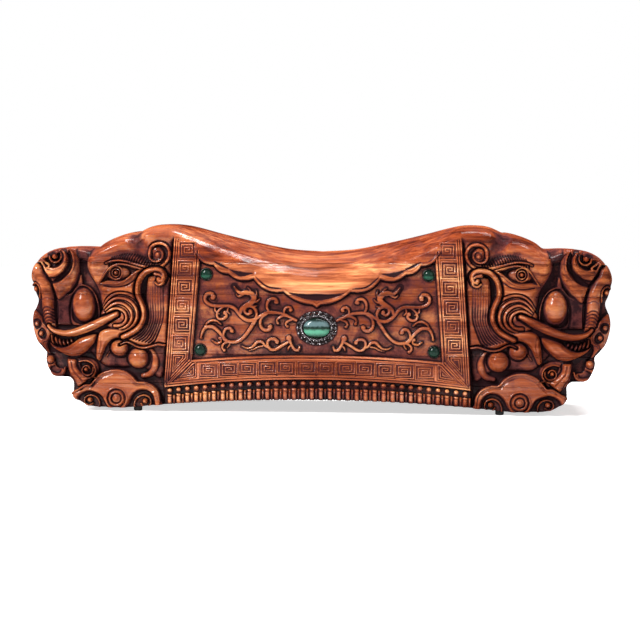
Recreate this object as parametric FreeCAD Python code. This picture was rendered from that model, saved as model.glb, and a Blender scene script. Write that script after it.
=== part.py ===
import FreeCAD, Part

import math
import os

# Carved wooden headrest: a block glued up from level boards, carved on the front and the back with two
# elephant heads around a hanging cloth, set with domed stones and standing on four stub feet. The back
# has the main forms only, and the front the finer ones too: fret, vine, fringe, eyes and small bosses.
# Millimetres. The origin is the middle of the footprint on the table, +X runs along the object and the
# front faces -Y. Heights are above the wood's underside. Places on the elephant heads are set out from
# the ends, as a carver does, as (inset from the end, height).

# Overall block
LENGTH = 440.0
DEPTH = 125.0

# Thickness of the boards, from the bottom: one base, three middle boards, the shoulders and the saddle
BASE_BOARD = 18.5
MIDDLE_BOARD = 22.5
SHOULDER_BOARD = 24.0
SADDLE_BOARD = 30.0
THICKNESSES = [BASE_BOARD, MIDDLE_BOARD, MIDDLE_BOARD, MIDDLE_BOARD, SHOULDER_BOARD, SADDLE_BOARD]
WOOD_HEIGHT = sum(THICKNESSES)

# Levels of the carving, as drops below the full half depth of the block
GROUND_DROP = 11.0
FLUTE_DROP = 8.0
HEAD_DROP = 5.0
LOW_FORM_DROP = 3.6
RIBBON_DROP = 1.2
FRAME_DROP = 2.5
PANEL_DROP = 5.5
VINE_DROP = 3.3

# Saddle and crests: top line as (distance from the middle, drop below the crest), then out to the end as
# (inset from the end, drop)
SADDLE_LINE = [(0, 20.5), (25, 18.8), (51, 13.8), (79, 7.2), (98, 2.2)]
CREST_LINE = [(110, 0.0), (98, 0.0), (84, 3.0), (72, 6.5), (60, 10.5), (50, 15.5), (36, 18.0), (22.5, 19.3)]
TIP_LINE = [(8, 23.0), (-4, 32.0)]
SADDLE_ROLL = 36.0
END_ROLL = 11.0
END_TAPER = 26.0
END_ROUNDING = 8.0
BLUNTNESS = 3.0

# Outline of the end from the rolled trunk down to the chin, the undercut behind the chin, and the toe
END_LINE = [(20.0, 121.0), (11.0, 117.0), (4.5, 110.5), (0.8, 103.0), (0.0, 96.5), (2.3, 87.0),
            (4.6, 80.5), (1.6, 72.0), (0.7, 64.0), (3.4, 52.5), (7.7, 46.3), (12.4, 40.6), (12.2, 35.0),
            (15.5, 27.0), (19.4, 23.2)]
UNDERCUT = [(19.4, 23.2), (28.0, 23.1), (32.6, 19.0)]
TOE = [(33.0, 10.0), (36.5, 5.4), (43.5, 1.3), (50.0, 0.0)]

# Hanging cloth: frame, panel and scalloped edge
FRAME_TOP_HALF = 108.5
FRAME_BOTTOM_HALF = 118.5
FRAME_BOTTOM = 16.2
PANEL_TOP_HALF = 89.5
PANEL_BOTTOM_HALF = 95.5
PANEL_BOTTOM = 36.2
ARCH_RISE = 6.4
ARCH_HALF_SPAN = 114.0
CLOTH_RISE = 4.5
BORDER_LINE = 1.4
BORDER_LIFT = 0.7
SCALLOPS = [(89.5, 117.5), (77.5, 109.8), (66.6, 103.4), (47.5, 99.9), (24.9, 90.2), (0.0, 79.0)]
SCALLOP_SAG = 0.14
SCALLOP_WIDTH = 2.8
SIDE_FRETS = 6
SIDE_FRET_PITCH = 14.1
SIDE_FRET_START = 49.0
BASE_FRETS = 6
BASE_FRET_PITCH = 14.9
BASE_FRET_START = 8.6
FRET_SIZE = 11.6
FRET_LINE = 1.8

# Fringe
FRINGE_RODS = 34
FRINGE_PITCH = 6.8
ROD_WIDTH = 3.4
ROD_TOP = 10.0
ROD_DROP = 3.2

# Centre stone and its setting
STONE_LENGTH = 20.0
STONE_WIDTH = 15.0
STONE_DOME = 3.8
STONE_HEIGHT = 61.5
SETTING_COLLAR = 1.0
SETTING_STAND = 1.5
SETTING_RIM = 4.6
SETTING_PLATE = 1.0
SETTING_LOBES = 16
SETTING_NOTCH = 1.3
SETTING_WINDOW = 0.9

# Corner stones and their bezels, as (distance from the middle, height)
UPPER_CORNER = (83.8, 101.5)
LOWER_CORNER = (88.2, 44.3)
CORNER_STONE = 8.0
CORNER_DOME = 2.6
BEZEL_WALL = 0.9
BEZEL_STAND = 1.2

# Pockets bored in the panel for the settings and bezels
POCKET_DEPTH = 3.0
CUP_FLOOR = 0.8
SEAT_GAP = 0.05
SEAT_CLEARANCE = 0.4

# Feet
FOOT_HEIGHT = 3.0
FOOT_DIAMETER = 6.5
SHANK_DIAMETER = 3.5
SHANK_LENGTH = 8.0
FOOT_INSET_X = 82.5
FOOT_INSET_Y = 14.0

# Carved forms of one elephant head
HEAD = [(44.5, 108), (48, 99), (54.5, 87), (56, 77), (56, 62), (53.5, 50), (54.5, 37), (60, 46),
        (73, 54), (84, 60), (89.5, 70), (87, 80), (84, 90), (88, 100), (98, 105), (109.5, 108),
        (109.5, 128), (100, 150), (70, 150), (51, 126)]
FOREHEAD = (70.0, 119.0, 19.0, 13.0)
CHEEK = (66.5, 69.5, 12.0, 13.0)
EGG = (42.0, 77.7, 8.8, 13.2)
JAW_BOSSES = [(69.3, 44.6, 6.4, 6.0), (83.3, 37.1, 8.0, 7.8), (63.0, 53.0, 8.0, 5.0)]
BROW = [(55, 96), (59, 103), (66, 108.8), (76, 109.4), (88, 107.2), (99, 106.8), (106, 111), (108.4, 117),
        (105, 123.4), (98, 124), (94, 120)]
BROW_WIDTHS = (2.2, 4.6)
EYELID = [(56.5, 96), (66, 95.6), (75, 98.6), (84, 104)]
LID_WIDTHS = (1.8, 2.6)
LID_STEP = 1.0
EYE = (67.0, 102.4, 3.6)
EAR = [(103.4, 100.4), (98, 104.0), (91, 103), (86, 98.5), (84.2, 90), (87.2, 80.3), (89, 71),
       (86.5, 62), (79, 56), (74, 53.5)]
EAR_WIDTHS = (5.6, 3.8)
EAR_SCROLL = (100.6, 97.6, 3.2)
FLUTE_TOPS = [(91.5, 96), (95, 93), (98.5, 90), (102, 88)]
FLUTE_FOOT = (86.0, 52.0)
FLUTE_FAN = 4.0
FLUTE_BEND = 2.0
FLUTE_WIDTH = 2.4
TUSK = [(16.0, 60.4), (21, 57), (28, 55.8), (36, 56.6), (46, 60.3), (57, 65), (66, 69.4)]
TUSK_RADII = (1.7, 3.9)
TRUNK = [(8, 101), (9.5, 94), (13.2, 86), (14.0, 77), (15.2, 69), (15.6, 61)]
TRUNK_RADII = (6.6, 2.9)
TRUNK_ROLL = [(12.5, 107.6), (18, 105.5), (24, 107.5), (28.2, 113), (26.5, 119.4)]
ROLL_WIDTHS = (3.0, 5.4)
ROLL_BODY = [(37.5, 117), (38.8, 106), (37, 95), (29, 85), (22.5, 81.5), (20.5, 92), (19, 97), (27, 102),
             (31.5, 109), (30.5, 119), (33, 122)]
ROLL_KNOB = (19.8, 115.4, 3.0)
LIP = [(15.6, 49.5), (22.5, 46), (30, 46.8), (37, 51.5), (50, 55.5), (48.5, 47), (43, 40.6), (35, 38),
       (26, 40), (18, 45.5)]
BEARD = [(13.0, 36.5), (17, 27.2), (24, 24.5), (31, 27.5), (30, 34), (22, 38), (15, 40)]
TUFT = [(31, 33.5), (36.5, 35.5), (38.5, 30), (44.3, 23.6), (42, 17), (38.5, 15), (35.8, 20.3), (32, 26)]
TUFT_SCROLL = (45.0, 28.4, 5.6)
MOUTH_CORNER = [(4.6, 66), (8.6, 66.6), (12.6, 60), (14.6, 54), (10.4, 50.2), (6.0, 56)]
CRESCENT = [(92, 43.5), (96.5, 37), (95.5, 30.3), (90, 26.6), (84, 27.8)]
CRESCENT_WIDTHS = (2.6, 3.8)

# Cloud scroll in the bottom corner
CLOUD = [(34.5, 2.0), (36, 13.5), (44, 17.0), (49.5, 17.5), (55, 24.5), (65, 28.2), (76, 26.4),
         (84.5, 19.2), (92, 18.0), (98.5, 13.5), (101, 6.0), (100.5, -2.0), (36, -2.0)]
ROSETTE = (68.0, 7.2)
ROSETTE_RINGS = [(ROSETTE, 8.2, 2.4), (ROSETTE, 3.0, 1.2)]
CLOUD_CURLS = [((89.5, 6.4), 6.2, 2.4), ((47.0, 6.0), 5.6, 2.4)]

# Vine scroll on the panel, right half, as (distance from the middle, height)
STEM_UP = [(17, 68), (27.5, 72.3), (39, 72.2), (51, 67), (57.5, 70.4), (63.5, 76.8), (73.5, 77.8),
           (83, 79.8), (84.3, 84.6), (80.4, 86.8)]
STEM_DOWN = [(46.4, 67.5), (52.6, 57), (60.4, 51), (68, 51.2), (74.4, 58.6), (80.6, 61.8), (86.2, 58.5)]
SHOOTS = [
    [(34, 73.5), (36.6, 79.5), (33.4, 83.3), (30, 81.3)],
    [(57.6, 76.5), (53, 81.4), (47.8, 85), (50.4, 90), (60.4, 88.6)],
    [(37, 71.8), (42, 66), (39.5, 60), (34.8, 62)],
]
STEM_WIDTH = 2.4

HALF_LENGTH = LENGTH / 2
HALF_DEPTH = DEPTH / 2
PANEL_FACE = HALF_DEPTH - PANEL_DROP
POCKET_FLOOR = PANEL_FACE - POCKET_DEPTH
STONE_SEAT = POCKET_FLOOR + CUP_FLOOR
CENTRE = (0.0, STONE_HEIGHT)
CLEAR = 5.0
EDGE_FACETS = 2
ROUND_CORNERS = 8
CENTRE_CORNERS = 16
CORNER_CORNERS = 10
ROLL_FACETS = 4
HORN_CORNERS = 6
WINDOW_CORNERS = 4
DOME_TURNS = (0, 35, 65)
STONE_TURNS = (0, 38, 68)
FORWARD = FreeCAD.Vector(0, -1, 0)
ORIGIN = FreeCAD.Vector(0, 0, 0)
ALONG = FreeCAD.Vector(1, 0, 0)
ACROSS = FreeCAD.Vector(0, 1, 0)
UP = FreeCAD.Vector(0, 0, 1)


def at(x, y, height):
    """A point from its height above the wood's underside."""
    return FreeCAD.Vector(x, y, height + FOOT_HEIGHT)


def from_end(points):
    """Places set out from the end, as (distance from the middle, height)."""
    return [(HALF_LENGTH - inset, height) for inset, height in points]


def along_curve(points, closed=False, spans=1):
    """Places and directions along a smooth curve in the X-Z plane through (x, height) points."""
    curve = Part.BSplineCurve()
    curve.interpolate([at(x, 0, height) for x, height in points], PeriodicFlag=closed)
    count = spans * (len(points) if closed else len(points) - 1)
    span = (curve.LastParameter - curve.FirstParameter) / count
    places = [curve.FirstParameter + span * step for step in range(count if closed else count + 1)]
    return [(curve.value(place), curve.tangent(place)[0]) for place in places]


def smooth(points, closed=False, spans=1):
    """Points of a smooth line through a few given ones, as (x, height)."""
    return [(spot.x, spot.z - FOOT_HEIGHT) for spot, _ in along_curve(points, closed, spans)]


def round_line(x, height, half_width, half_height, corners=ROUND_CORNERS):
    """Corners of an upright round or oval, as (x, height)."""
    turns = [2 * math.pi * (corner + 0.5) / corners for corner in range(corners)]
    return [(x + half_width * math.cos(turn), height + half_height * math.sin(turn)) for turn in turns]


def outline(points, y=0.0):
    """Closed straight-sided wire at one depth."""
    corners = [at(x, y, height) for x, height in points]
    return Part.makePolygon(corners + corners[:1])


def raised(wire, drop):
    """Form that stands out of the block's middle plane, up to drop below the full depth."""
    return Part.Face(wire).extrude(FORWARD * (HALF_DEPTH - drop))


def plate(points, drop):
    """Raised form with the outline given."""
    return raised(outline(points), drop)


def leaf(points, drop):
    """Raised form with a smooth closed outline."""
    return plate(smooth(points, closed=True), drop)


def disc(x, height, radius, drop):
    """Raised round boss with a flat face."""
    return plate(round_line(x, height, radius, radius), drop)


def ribbon(points, start_width, end_width, drop):
    """Raised band that follows a smooth centre line and changes its width evenly along it."""
    stations = along_curve(points)
    sides = [[], []]
    for step, (spot, along) in enumerate(stations):
        half = (start_width + (end_width - start_width) * step / (len(stations) - 1)) / 2
        height = spot.z - FOOT_HEIGHT
        sides[0].append((spot.x - along.z * half, height + along.x * half))
        sides[1].append((spot.x + along.z * half, height - along.x * half))
    return plate(sides[0] + sides[1][::-1], drop)


def skin(rings):
    """Closed solid through rings of as many corners each, with a flat face at either end."""
    faces = [Part.Face(Part.makePolygon(ring + ring[:1])) for ring in (rings[0], rings[-1])]
    for near, far in zip(rings, rings[1:]):
        for corner, spot in enumerate(near):
            before = corner - 1
            for triangle in ((near[before], spot, far[corner]), (near[before], far[corner], far[before])):
                faces.append(Part.Face(Part.makePolygon(list(triangle) + [triangle[0]])))
    return Part.Solid(Part.makeShell(faces)).removeSplitter()


def dome(x, height, half_width, half_height, crown_drop):
    """Egg-shaped boss that rises from a sunk root through the ground to its crown."""
    stand = GROUND_DROP - crown_drop
    levels = [(1.0, -stand / 2)]
    for turn in DOME_TURNS:
        rise = stand * math.sin(math.radians(turn)) / math.sin(math.radians(DOME_TURNS[-1]))
        levels.append((math.cos(math.radians(turn)), rise))
    rings = []
    for share, rise in levels:
        line = round_line(x, height, half_width * share, half_height * share)
        rings.append([at(along, GROUND_DROP - rise - HALF_DEPTH, up) for along, up in line])
    return skin(rings)


def horn(points, start_radius, end_radius, axis_drop):
    """Tapering round form along a smooth path, its axis near the carved ground."""
    stations = along_curve(from_end(points))
    rings = []
    for step, (spot, along) in enumerate(stations):
        radius = start_radius + (end_radius - start_radius) * step / (len(stations) - 1)
        side = FreeCAD.Vector(-along.z, 0, along.x)
        centre = FreeCAD.Vector(spot.x, axis_drop - HALF_DEPTH, spot.z)
        rings.append([centre + (side * across + FORWARD * out) * radius
                      for across, out in round_line(0, 0, 1.0, 1.0, HORN_CORNERS)])
    return skin(rings)


def section(x, top):
    """Upright cross-section of the uncarved block at x: straight sides and a rolled top."""
    near_middle = max(0.0, 1 - (x / FRAME_TOP_HALF) ** 2)
    roll = END_ROLL + (SADDLE_ROLL - END_ROLL) * near_middle
    power = BLUNTNESS - (BLUNTNESS - 2) * near_middle
    past = max(0.0, abs(x) - (HALF_LENGTH - END_TAPER)) / END_TAPER
    half = HALF_DEPTH - FRAME_DROP * min(1.0, 2 * near_middle) - END_ROUNDING * past ** 2
    line = []
    for step in range(-ROLL_FACETS, ROLL_FACETS + 1):
        angle = step / ROLL_FACETS * math.pi / 2
        out = math.copysign(abs(math.sin(angle)) ** (2 / power), angle)
        up = abs(math.cos(angle)) ** (2 / power)
        line.append(at(x, out * half, top - roll + roll * up))
    return line + [at(x, half, -CLEAR), at(x, -half, -CLEAR)]


def rolled_block():
    """The uncarved block's rolled shape over the right half, run a little past the middle and the end."""
    middle = [(x, WOOD_HEIGHT - drop) for x, drop in SADDLE_LINE]
    outer = [(x, WOOD_HEIGHT - drop) for x, drop in from_end(CREST_LINE + TIP_LINE)]
    past_middle = [(-x, top) for x, top in reversed(middle[1:3])]
    return skin([section(x, top) for x, top in past_middle + middle + outer])


def arch_edge(height, rise, half_span):
    """Arc over the middle, level at both ends of its span."""
    ends = at(half_span, 0, height), at(-half_span, 0, height)
    return Part.Arc(ends[0], at(0, 0, height + rise), ends[1]).toShape()


def silhouette(drop):
    """Front outline of the right half, run past the middle, as a solid up to a carving level."""
    end = smooth(from_end(END_LINE), spans=EDGE_FACETS)
    under, toe = smooth(from_end(UNDERCUT)), smooth(from_end(TOE))
    roof = WOOD_HEIGHT + CLEAR
    line = [(-ARCH_HALF_SPAN, 0), (-ARCH_HALF_SPAN, roof), (end[0][0], roof)]
    line += end + under[1:] + toe + [(ARCH_HALF_SPAN, 0)]
    edges = [Part.makePolygon([at(x, 0, height) for x, height in line]),
             arch_edge(0, ARCH_RISE, ARCH_HALF_SPAN)]
    return raised(Part.Wire(edges), drop)


def head_forms():
    """Main raised forms of the right-hand elephant head."""
    high = RIBBON_DROP
    forms = [
        leaf(from_end(HEAD), HEAD_DROP),
        ribbon(from_end(BROW), *BROW_WIDTHS, high),
        ribbon(from_end(EAR), *EAR_WIDTHS, high),
        horn(TUSK, *TUSK_RADII, TUSK_RADII[1] + high / 2),
        horn(TRUNK, *TRUNK_RADII, TRUNK_RADII[0] + high),
        leaf(from_end(ROLL_BODY), LOW_FORM_DROP),
        ribbon(from_end(TRUNK_ROLL), *ROLL_WIDTHS, high),
        leaf(from_end(LIP), LOW_FORM_DROP),
        leaf(from_end(TUFT), LOW_FORM_DROP),
    ]
    for inset, *rest in (FOREHEAD, CHEEK, EGG):
        forms.append(dome(HALF_LENGTH - inset, *rest, high))
    return forms


def head_details():
    """Finer forms of the right-hand elephant head."""
    lids = RIBBON_DROP + LID_STEP
    forms = [
        ribbon(from_end(EYELID), *LID_WIDTHS, lids),
        leaf(from_end(BEARD), HEAD_DROP),
        leaf(from_end(MOUTH_CORNER), HEAD_DROP),
        ribbon(from_end(CRESCENT), *CRESCENT_WIDTHS, LOW_FORM_DROP),
    ]
    for inset, *rest in JAW_BOSSES:
        forms.append(dome(HALF_LENGTH - inset, *rest, LOW_FORM_DROP))
    for (inset, height, radius), drop in [(EAR_SCROLL, RIBBON_DROP), (EYE, lids),
                                          (ROLL_KNOB, LOW_FORM_DROP), (TUFT_SCROLL, LOW_FORM_DROP)]:
        forms.append(disc(HALF_LENGTH - inset, height, radius, drop))
    for number, top in enumerate(FLUTE_TOPS):
        root = (FLUTE_FOOT[0] + FLUTE_FAN * number, FLUTE_FOOT[1])
        bend = ((root[0] + top[0]) / 2 + FLUTE_BEND, (root[1] + top[1]) / 2)
        forms.append(ribbon(from_end([root, bend, top]), FLUTE_WIDTH, FLUTE_WIDTH, FLUTE_DROP))
    return forms


def cloud_curls():
    """Rosette and curls on the right-hand cloud scroll."""
    return [disc(HALF_LENGTH - inset, height, radius, drop)
            for (inset, height), radius, drop in ROSETTE_RINGS + CLOUD_CURLS]


def arch_lift(x, rise, half_span=ARCH_HALF_SPAN):
    """How far an arched line stands above its ends at x."""
    return rise * max(0.0, 1 - (x / half_span) ** 2)


def cloth_ground():
    """Flat of the frame and saddle, and the lower flat behind the fringe."""
    roof = WOOD_HEIGHT + CLEAR
    frame = [
        arch_edge(FRAME_BOTTOM, CLOTH_RISE, FRAME_BOTTOM_HALF),
        Part.makePolygon([
            at(-FRAME_BOTTOM_HALF, 0, FRAME_BOTTOM),
            at(-FRAME_TOP_HALF, 0, roof),
            at(FRAME_TOP_HALF, 0, roof),
            at(FRAME_BOTTOM_HALF, 0, FRAME_BOTTOM),
        ]),
    ]
    behind = [(-CLEAR, -CLEAR), (FRAME_BOTTOM_HALF, -CLEAR), (FRAME_BOTTOM_HALF, FRAME_BOTTOM + CLOTH_RISE),
              (-CLEAR, FRAME_BOTTOM + CLOTH_RISE)]
    return [raised(Part.Wire(frame), FRAME_DROP), plate(behind, PANEL_DROP)]


def lobes():
    """Corners of the scalloped edge in the right half: each lobe's start and the middle of its sag."""
    line = []
    for (x0, z0), (x1, z1) in zip(SCALLOPS, SCALLOPS[1:]):
        sag = SCALLOP_SAG * math.hypot(x1 - x0, z1 - z0)
        line += [(x0, z0), ((x0 + x1) / 2, (z0 + z1) / 2 - sag)]
    return line + SCALLOPS[-1:]


def panel_recess():
    """Recess of the panel in the right half, under the scalloped edge."""
    middle_bottom = at(0, 0, PANEL_BOTTOM + CLOTH_RISE)
    corner = at(PANEL_BOTTOM_HALF, 0, PANEL_BOTTOM)
    lift = arch_lift(PANEL_BOTTOM_HALF / 2, CLOTH_RISE, PANEL_BOTTOM_HALF)
    halfway = at(PANEL_BOTTOM_HALF / 2, 0, PANEL_BOTTOM + lift)
    edge = [corner] + [at(x, 0, height) for x, height in lobes()] + [middle_bottom]
    edges = [Part.makePolygon(edge), Part.Arc(middle_bottom, halfway, corner).toShape()]
    recess = Part.Face(Part.Wire(edges)).extrude(FORWARD * (PANEL_DROP + CLEAR))
    recess.translate(FORWARD * (HALF_DEPTH - PANEL_DROP))
    return recess


def scallop_moulding():
    """Raised edge that follows the lobes and runs into the border's inner line."""
    below = [(PANEL_TOP_HALF + BORDER_LINE, SCALLOPS[0][1])] + lobes()
    above = [(x, height + SCALLOP_WIDTH) for x, height in reversed(below)]
    return [plate(below + above, FRAME_DROP - BORDER_LIFT)]


def border_lines():
    """Raised lines along both edges of the frame's side."""
    forms = []
    sides = [((FRAME_TOP_HALF, -1), (FRAME_BOTTOM_HALF, -1)), ((PANEL_TOP_HALF, 1), (PANEL_BOTTOM_HALF, 1))]
    heights = [(WOOD_HEIGHT, FRAME_BOTTOM), (SCALLOPS[0][1], PANEL_BOTTOM)]
    for ((top_half, way), (bottom_half, _)), (top, bottom) in zip(sides, heights):
        inner = way * BORDER_LINE
        corners = [(top_half, top), (top_half + inner, top), (bottom_half + inner, bottom),
                   (bottom_half, bottom)]
        forms.append(plate(corners, FRAME_DROP - BORDER_LIFT))
    return forms


def fret(x, height):
    """One key of the fret: a raised line that runs almost round a square."""
    side, line = FRET_SIZE, FRET_LINE
    far = side - line
    key = [(0, 0), (side, 0), (side, side), (0, side), (0, 2 * line), (line, 2 * line), (line, far),
           (far, far), (far, line), (0, line)]
    return plate([(x - side / 2 + along, height - side / 2 + up) for along, up in key],
                 FRAME_DROP - BORDER_LIFT)


def frets():
    """Key fret up the side of the frame and along its foot."""
    forms = []
    for number in range(SIDE_FRETS):
        height = SIDE_FRET_START + SIDE_FRET_PITCH * number
        share = (height - PANEL_BOTTOM) / (SCALLOPS[0][1] - PANEL_BOTTOM)
        foot = (PANEL_BOTTOM_HALF + FRAME_BOTTOM_HALF) / 2
        head = (PANEL_TOP_HALF + FRAME_TOP_HALF) / 2
        forms.append(fret(foot + (head - foot) * share, height))
    for number in range(BASE_FRETS):
        x = BASE_FRET_START + BASE_FRET_PITCH * number
        forms.append(fret(x, (FRAME_BOTTOM + PANEL_BOTTOM) / 2 + arch_lift(x, CLOTH_RISE)))
    return forms


def fringe():
    """Rods that hang side by side along the arched lower edge."""
    forms = []
    for number in range(FRINGE_RODS // 2):
        x = FRINGE_PITCH * (number + 0.5)
        left, right, top = x - ROD_WIDTH / 2, x + ROD_WIDTH / 2, ROD_TOP + arch_lift(x, ARCH_RISE)
        forms.append(plate([(left, -CLEAR), (left, top), (right, top), (right, -CLEAR)], ROD_DROP))
    return forms


def vine():
    """Stems of the vine scroll in relief on the panel."""
    return [ribbon(stem, STEM_WIDTH, STEM_WIDTH, VINE_DROP) for stem in [STEM_UP, STEM_DOWN] + SHOOTS]


def oval(half_length, half_width, centre, low, high, corners):
    """Oval block standing on the front between two distances from the middle plane."""
    line = outline(round_line(*centre, half_length, half_width, corners), -low)
    return Part.Face(line).extrude(FORWARD * (high - low))


def cabochon(length, width, centre, girdle_top, rise, corners):
    """Domed stone that sits on the floor of its cup: a straight girdle under a rounded crown."""
    levels = [(1.0, STONE_SEAT)]
    levels += [(math.cos(math.radians(turn)), girdle_top + rise * math.sin(math.radians(turn)))
               for turn in STONE_TURNS]
    rings = []
    for share, out in levels:
        line = round_line(*centre, length / 2 * share, width / 2 * share, corners)
        rings.append([at(x, -out, height) for x, height in line])
    return skin(rings)


def cup(length, width, wall, centre, top, corners):
    """Metal cup that holds a stone: a floor and a wall around the girdle."""
    half_length, half_width = length / 2 + SEAT_GAP, width / 2 + SEAT_GAP
    outer = oval(half_length + wall, half_width + wall, centre, POCKET_FLOOR, top, corners)
    return outer.cut(oval(half_length, half_width, centre, STONE_SEAT, top, corners))


def centre_setting():
    """Openwork setting: a cup, and around it a plate with a notched edge and a ring of windows."""
    edge, windows = [], []
    middle = SEAT_GAP + SETTING_COLLAR + (SETTING_RIM - SETTING_NOTCH) / 2
    for number in range(SETTING_LOBES):
        for half_step, reach in ((0, SETTING_RIM), (1, SETTING_RIM - SETTING_NOTCH)):
            angle = math.pi * (2 * number + half_step) / SETTING_LOBES
            out = SEAT_GAP + SETTING_COLLAR + reach
            edge.append(((STONE_LENGTH / 2 + out) * math.cos(angle),
                         STONE_HEIGHT + (STONE_WIDTH / 2 + out) * math.sin(angle)))
        angle = 2 * math.pi * number / SETTING_LOBES
        spot = ((STONE_LENGTH / 2 + middle) * math.cos(angle),
                STONE_HEIGHT + (STONE_WIDTH / 2 + middle) * math.sin(angle))
        windows.append(oval(SETTING_WINDOW, SETTING_WINDOW, spot, PANEL_FACE, PANEL_FACE + SETTING_PLATE,
                            WINDOW_CORNERS))
    well = oval(STONE_LENGTH / 2 + SEAT_GAP, STONE_WIDTH / 2 + SEAT_GAP, CENTRE, POCKET_FLOOR, HALF_DEPTH,
                CENTRE_CORNERS)
    rim = Part.Face(outline(edge, -PANEL_FACE)).extrude(FORWARD * SETTING_PLATE)
    rim = rim.cut(Part.makeCompound(windows + [well]))
    body = cup(STONE_LENGTH, STONE_WIDTH, SETTING_COLLAR, CENTRE, PANEL_FACE + SETTING_STAND,
               CENTRE_CORNERS)
    return body.fuse(rim).removeSplitter()


def seats():
    """Pockets for the cups and the flats that the setting and bezels stand on, right half."""
    reach = SEAT_GAP + SETTING_COLLAR + SETTING_RIM + SEAT_CLEARANCE
    length, width = STONE_LENGTH / 2, STONE_WIDTH / 2
    wall = 2 * SEAT_GAP + SETTING_COLLAR
    cuts = [
        oval(length + wall, width + wall, CENTRE, POCKET_FLOOR, HALF_DEPTH, CENTRE_CORNERS),
        oval(length + reach, width + reach, CENTRE, PANEL_FACE, HALF_DEPTH, CENTRE_CORNERS),
    ]
    radius = CORNER_STONE / 2 + 2 * SEAT_GAP + BEZEL_WALL
    for corner in (UPPER_CORNER, LOWER_CORNER):
        cuts.append(oval(radius, radius, corner, POCKET_FLOOR, PANEL_FACE, CORNER_CORNERS))
        cuts.append(oval(radius + SEAT_CLEARANCE, radius + SEAT_CLEARANCE, corner, PANEL_FACE, HALF_DEPTH,
                         CORNER_CORNERS))
    return cuts


def foot_place():
    """Middle of the front right foot on the wood's underside."""
    return HALF_LENGTH - FOOT_INSET_X, FOOT_INSET_Y - HALF_DEPTH


def peg(radius, length, height):
    """Round upright peg where the front right foot stands."""
    x, y = foot_place()
    corners = [at(x + along, y + across, height)
               for along, across in round_line(0, 0, radius, radius, CORNER_CORNERS)]
    return Part.Face(Part.makePolygon(corners + corners[:1])).extrude(UP * length)


def foot():
    """Stub foot with its shank, front right."""
    return peg(FOOT_DIAMETER / 2, FOOT_HEIGHT, -FOOT_HEIGHT).fuse(peg(SHANK_DIAMETER / 2, SHANK_LENGTH, 0))


def carved_quarter(front):
    """A right-hand quarter of the block, carved, before it is seen as separate boards."""
    forms = cloth_ground() + head_forms() + [leaf(from_end(CLOUD), LOW_FORM_DROP)]
    cloth = scallop_moulding() + border_lines()
    if front:
        forms += head_details() + cloud_curls() + fringe()
        cloth += frets() + vine()
    block = silhouette(GROUND_DROP).multiFuse(forms)
    block = block.cut(panel_recess()).multiFuse(cloth)
    block = block.common(silhouette(0.0).common(rolled_block()))
    hole = peg(SHANK_DIAMETER / 2 + SEAT_GAP, SHANK_LENGTH + SEAT_GAP, 0)
    block = block.cut(Part.makeCompound(seats() + [hole]))
    return block if front else block.mirror(ORIGIN, ACROSS)


def boards():
    """The six boards, each the whole length and depth of the block."""
    names = ["base_board", "lower_board", "lower_middle_board", "upper_middle_board", "shoulder_board",
             "saddle_board"]
    seams = [0.0]
    for thickness in THICKNESSES:
        seams.append(seams[-1] + thickness)
    seams[-1] += CLEAR
    quarters = [carved_quarter(front) for front in (True, False)]
    pieces = {}
    for name, low, high in zip(names, seams, seams[1:]):
        slab = Part.makeBox(LENGTH, 2 * DEPTH, high - low, at(0, -DEPTH, low))
        front, back = [quarter.common(slab) for quarter in quarters]
        half = front.fuse(back).removeSplitter()
        pieces[name] = half.fuse(half.mirror(ORIGIN, ALONG)).removeSplitter()
    return pieces


def mirrored(shape, right, front):
    """A front right shape carried to one of the four quarters."""
    if not right:
        shape = shape.mirror(ORIGIN, ALONG)
    if not front:
        shape = shape.mirror(ORIGIN, ACROSS)
    return shape


def fittings():
    """Stones, settings, bezels and feet."""
    pieces = {}
    setting = centre_setting()
    stone = cabochon(STONE_LENGTH, STONE_WIDTH, CENTRE, PANEL_FACE + SETTING_STAND, STONE_DOME,
                     CENTRE_CORNERS)
    for front in (True, False):
        face = "front" if front else "back"
        pieces[f"{face}_centre_setting"] = mirrored(setting, True, front)
        pieces[f"{face}_centre_stone"] = mirrored(stone, True, front)
    top = PANEL_FACE + BEZEL_STAND
    stub = foot()
    for front in (True, False):
        face = "front" if front else "back"
        for right in (False, True):
            side = "right" if right else "left"
            for level, corner in (("upper", UPPER_CORNER), ("lower", LOWER_CORNER)):
                bezel = cup(CORNER_STONE, CORNER_STONE, BEZEL_WALL, corner, top, CORNER_CORNERS)
                gem = cabochon(CORNER_STONE, CORNER_STONE, corner, top, CORNER_DOME, CORNER_CORNERS)
                pieces[f"{face}_{level}_{side}_bezel"] = mirrored(bezel, right, front)
                pieces[f"{face}_{level}_{side}_stone"] = mirrored(gem, right, front)
            pieces[f"{face}_{side}_foot"] = mirrored(stub, right, front)
    return pieces


os.makedirs("parts", exist_ok=True)
for name, shape in {**boards(), **fittings()}.items():
    shape.exportStep(f"parts/{name}.step")
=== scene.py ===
import math

import bmesh
import bpy
import numpy as np
from mathutils import Matrix, Vector


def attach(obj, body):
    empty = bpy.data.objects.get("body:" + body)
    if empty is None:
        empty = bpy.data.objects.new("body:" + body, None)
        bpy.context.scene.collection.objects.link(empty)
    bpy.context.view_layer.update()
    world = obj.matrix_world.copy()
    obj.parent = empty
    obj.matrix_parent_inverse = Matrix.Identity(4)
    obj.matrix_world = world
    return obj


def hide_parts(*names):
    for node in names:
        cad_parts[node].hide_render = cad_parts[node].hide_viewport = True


# Carved wooden headrest with twin elephant heads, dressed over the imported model.
# Blender units are metres; the carving is worked out in millimetres, as a carver would set it out.

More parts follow.
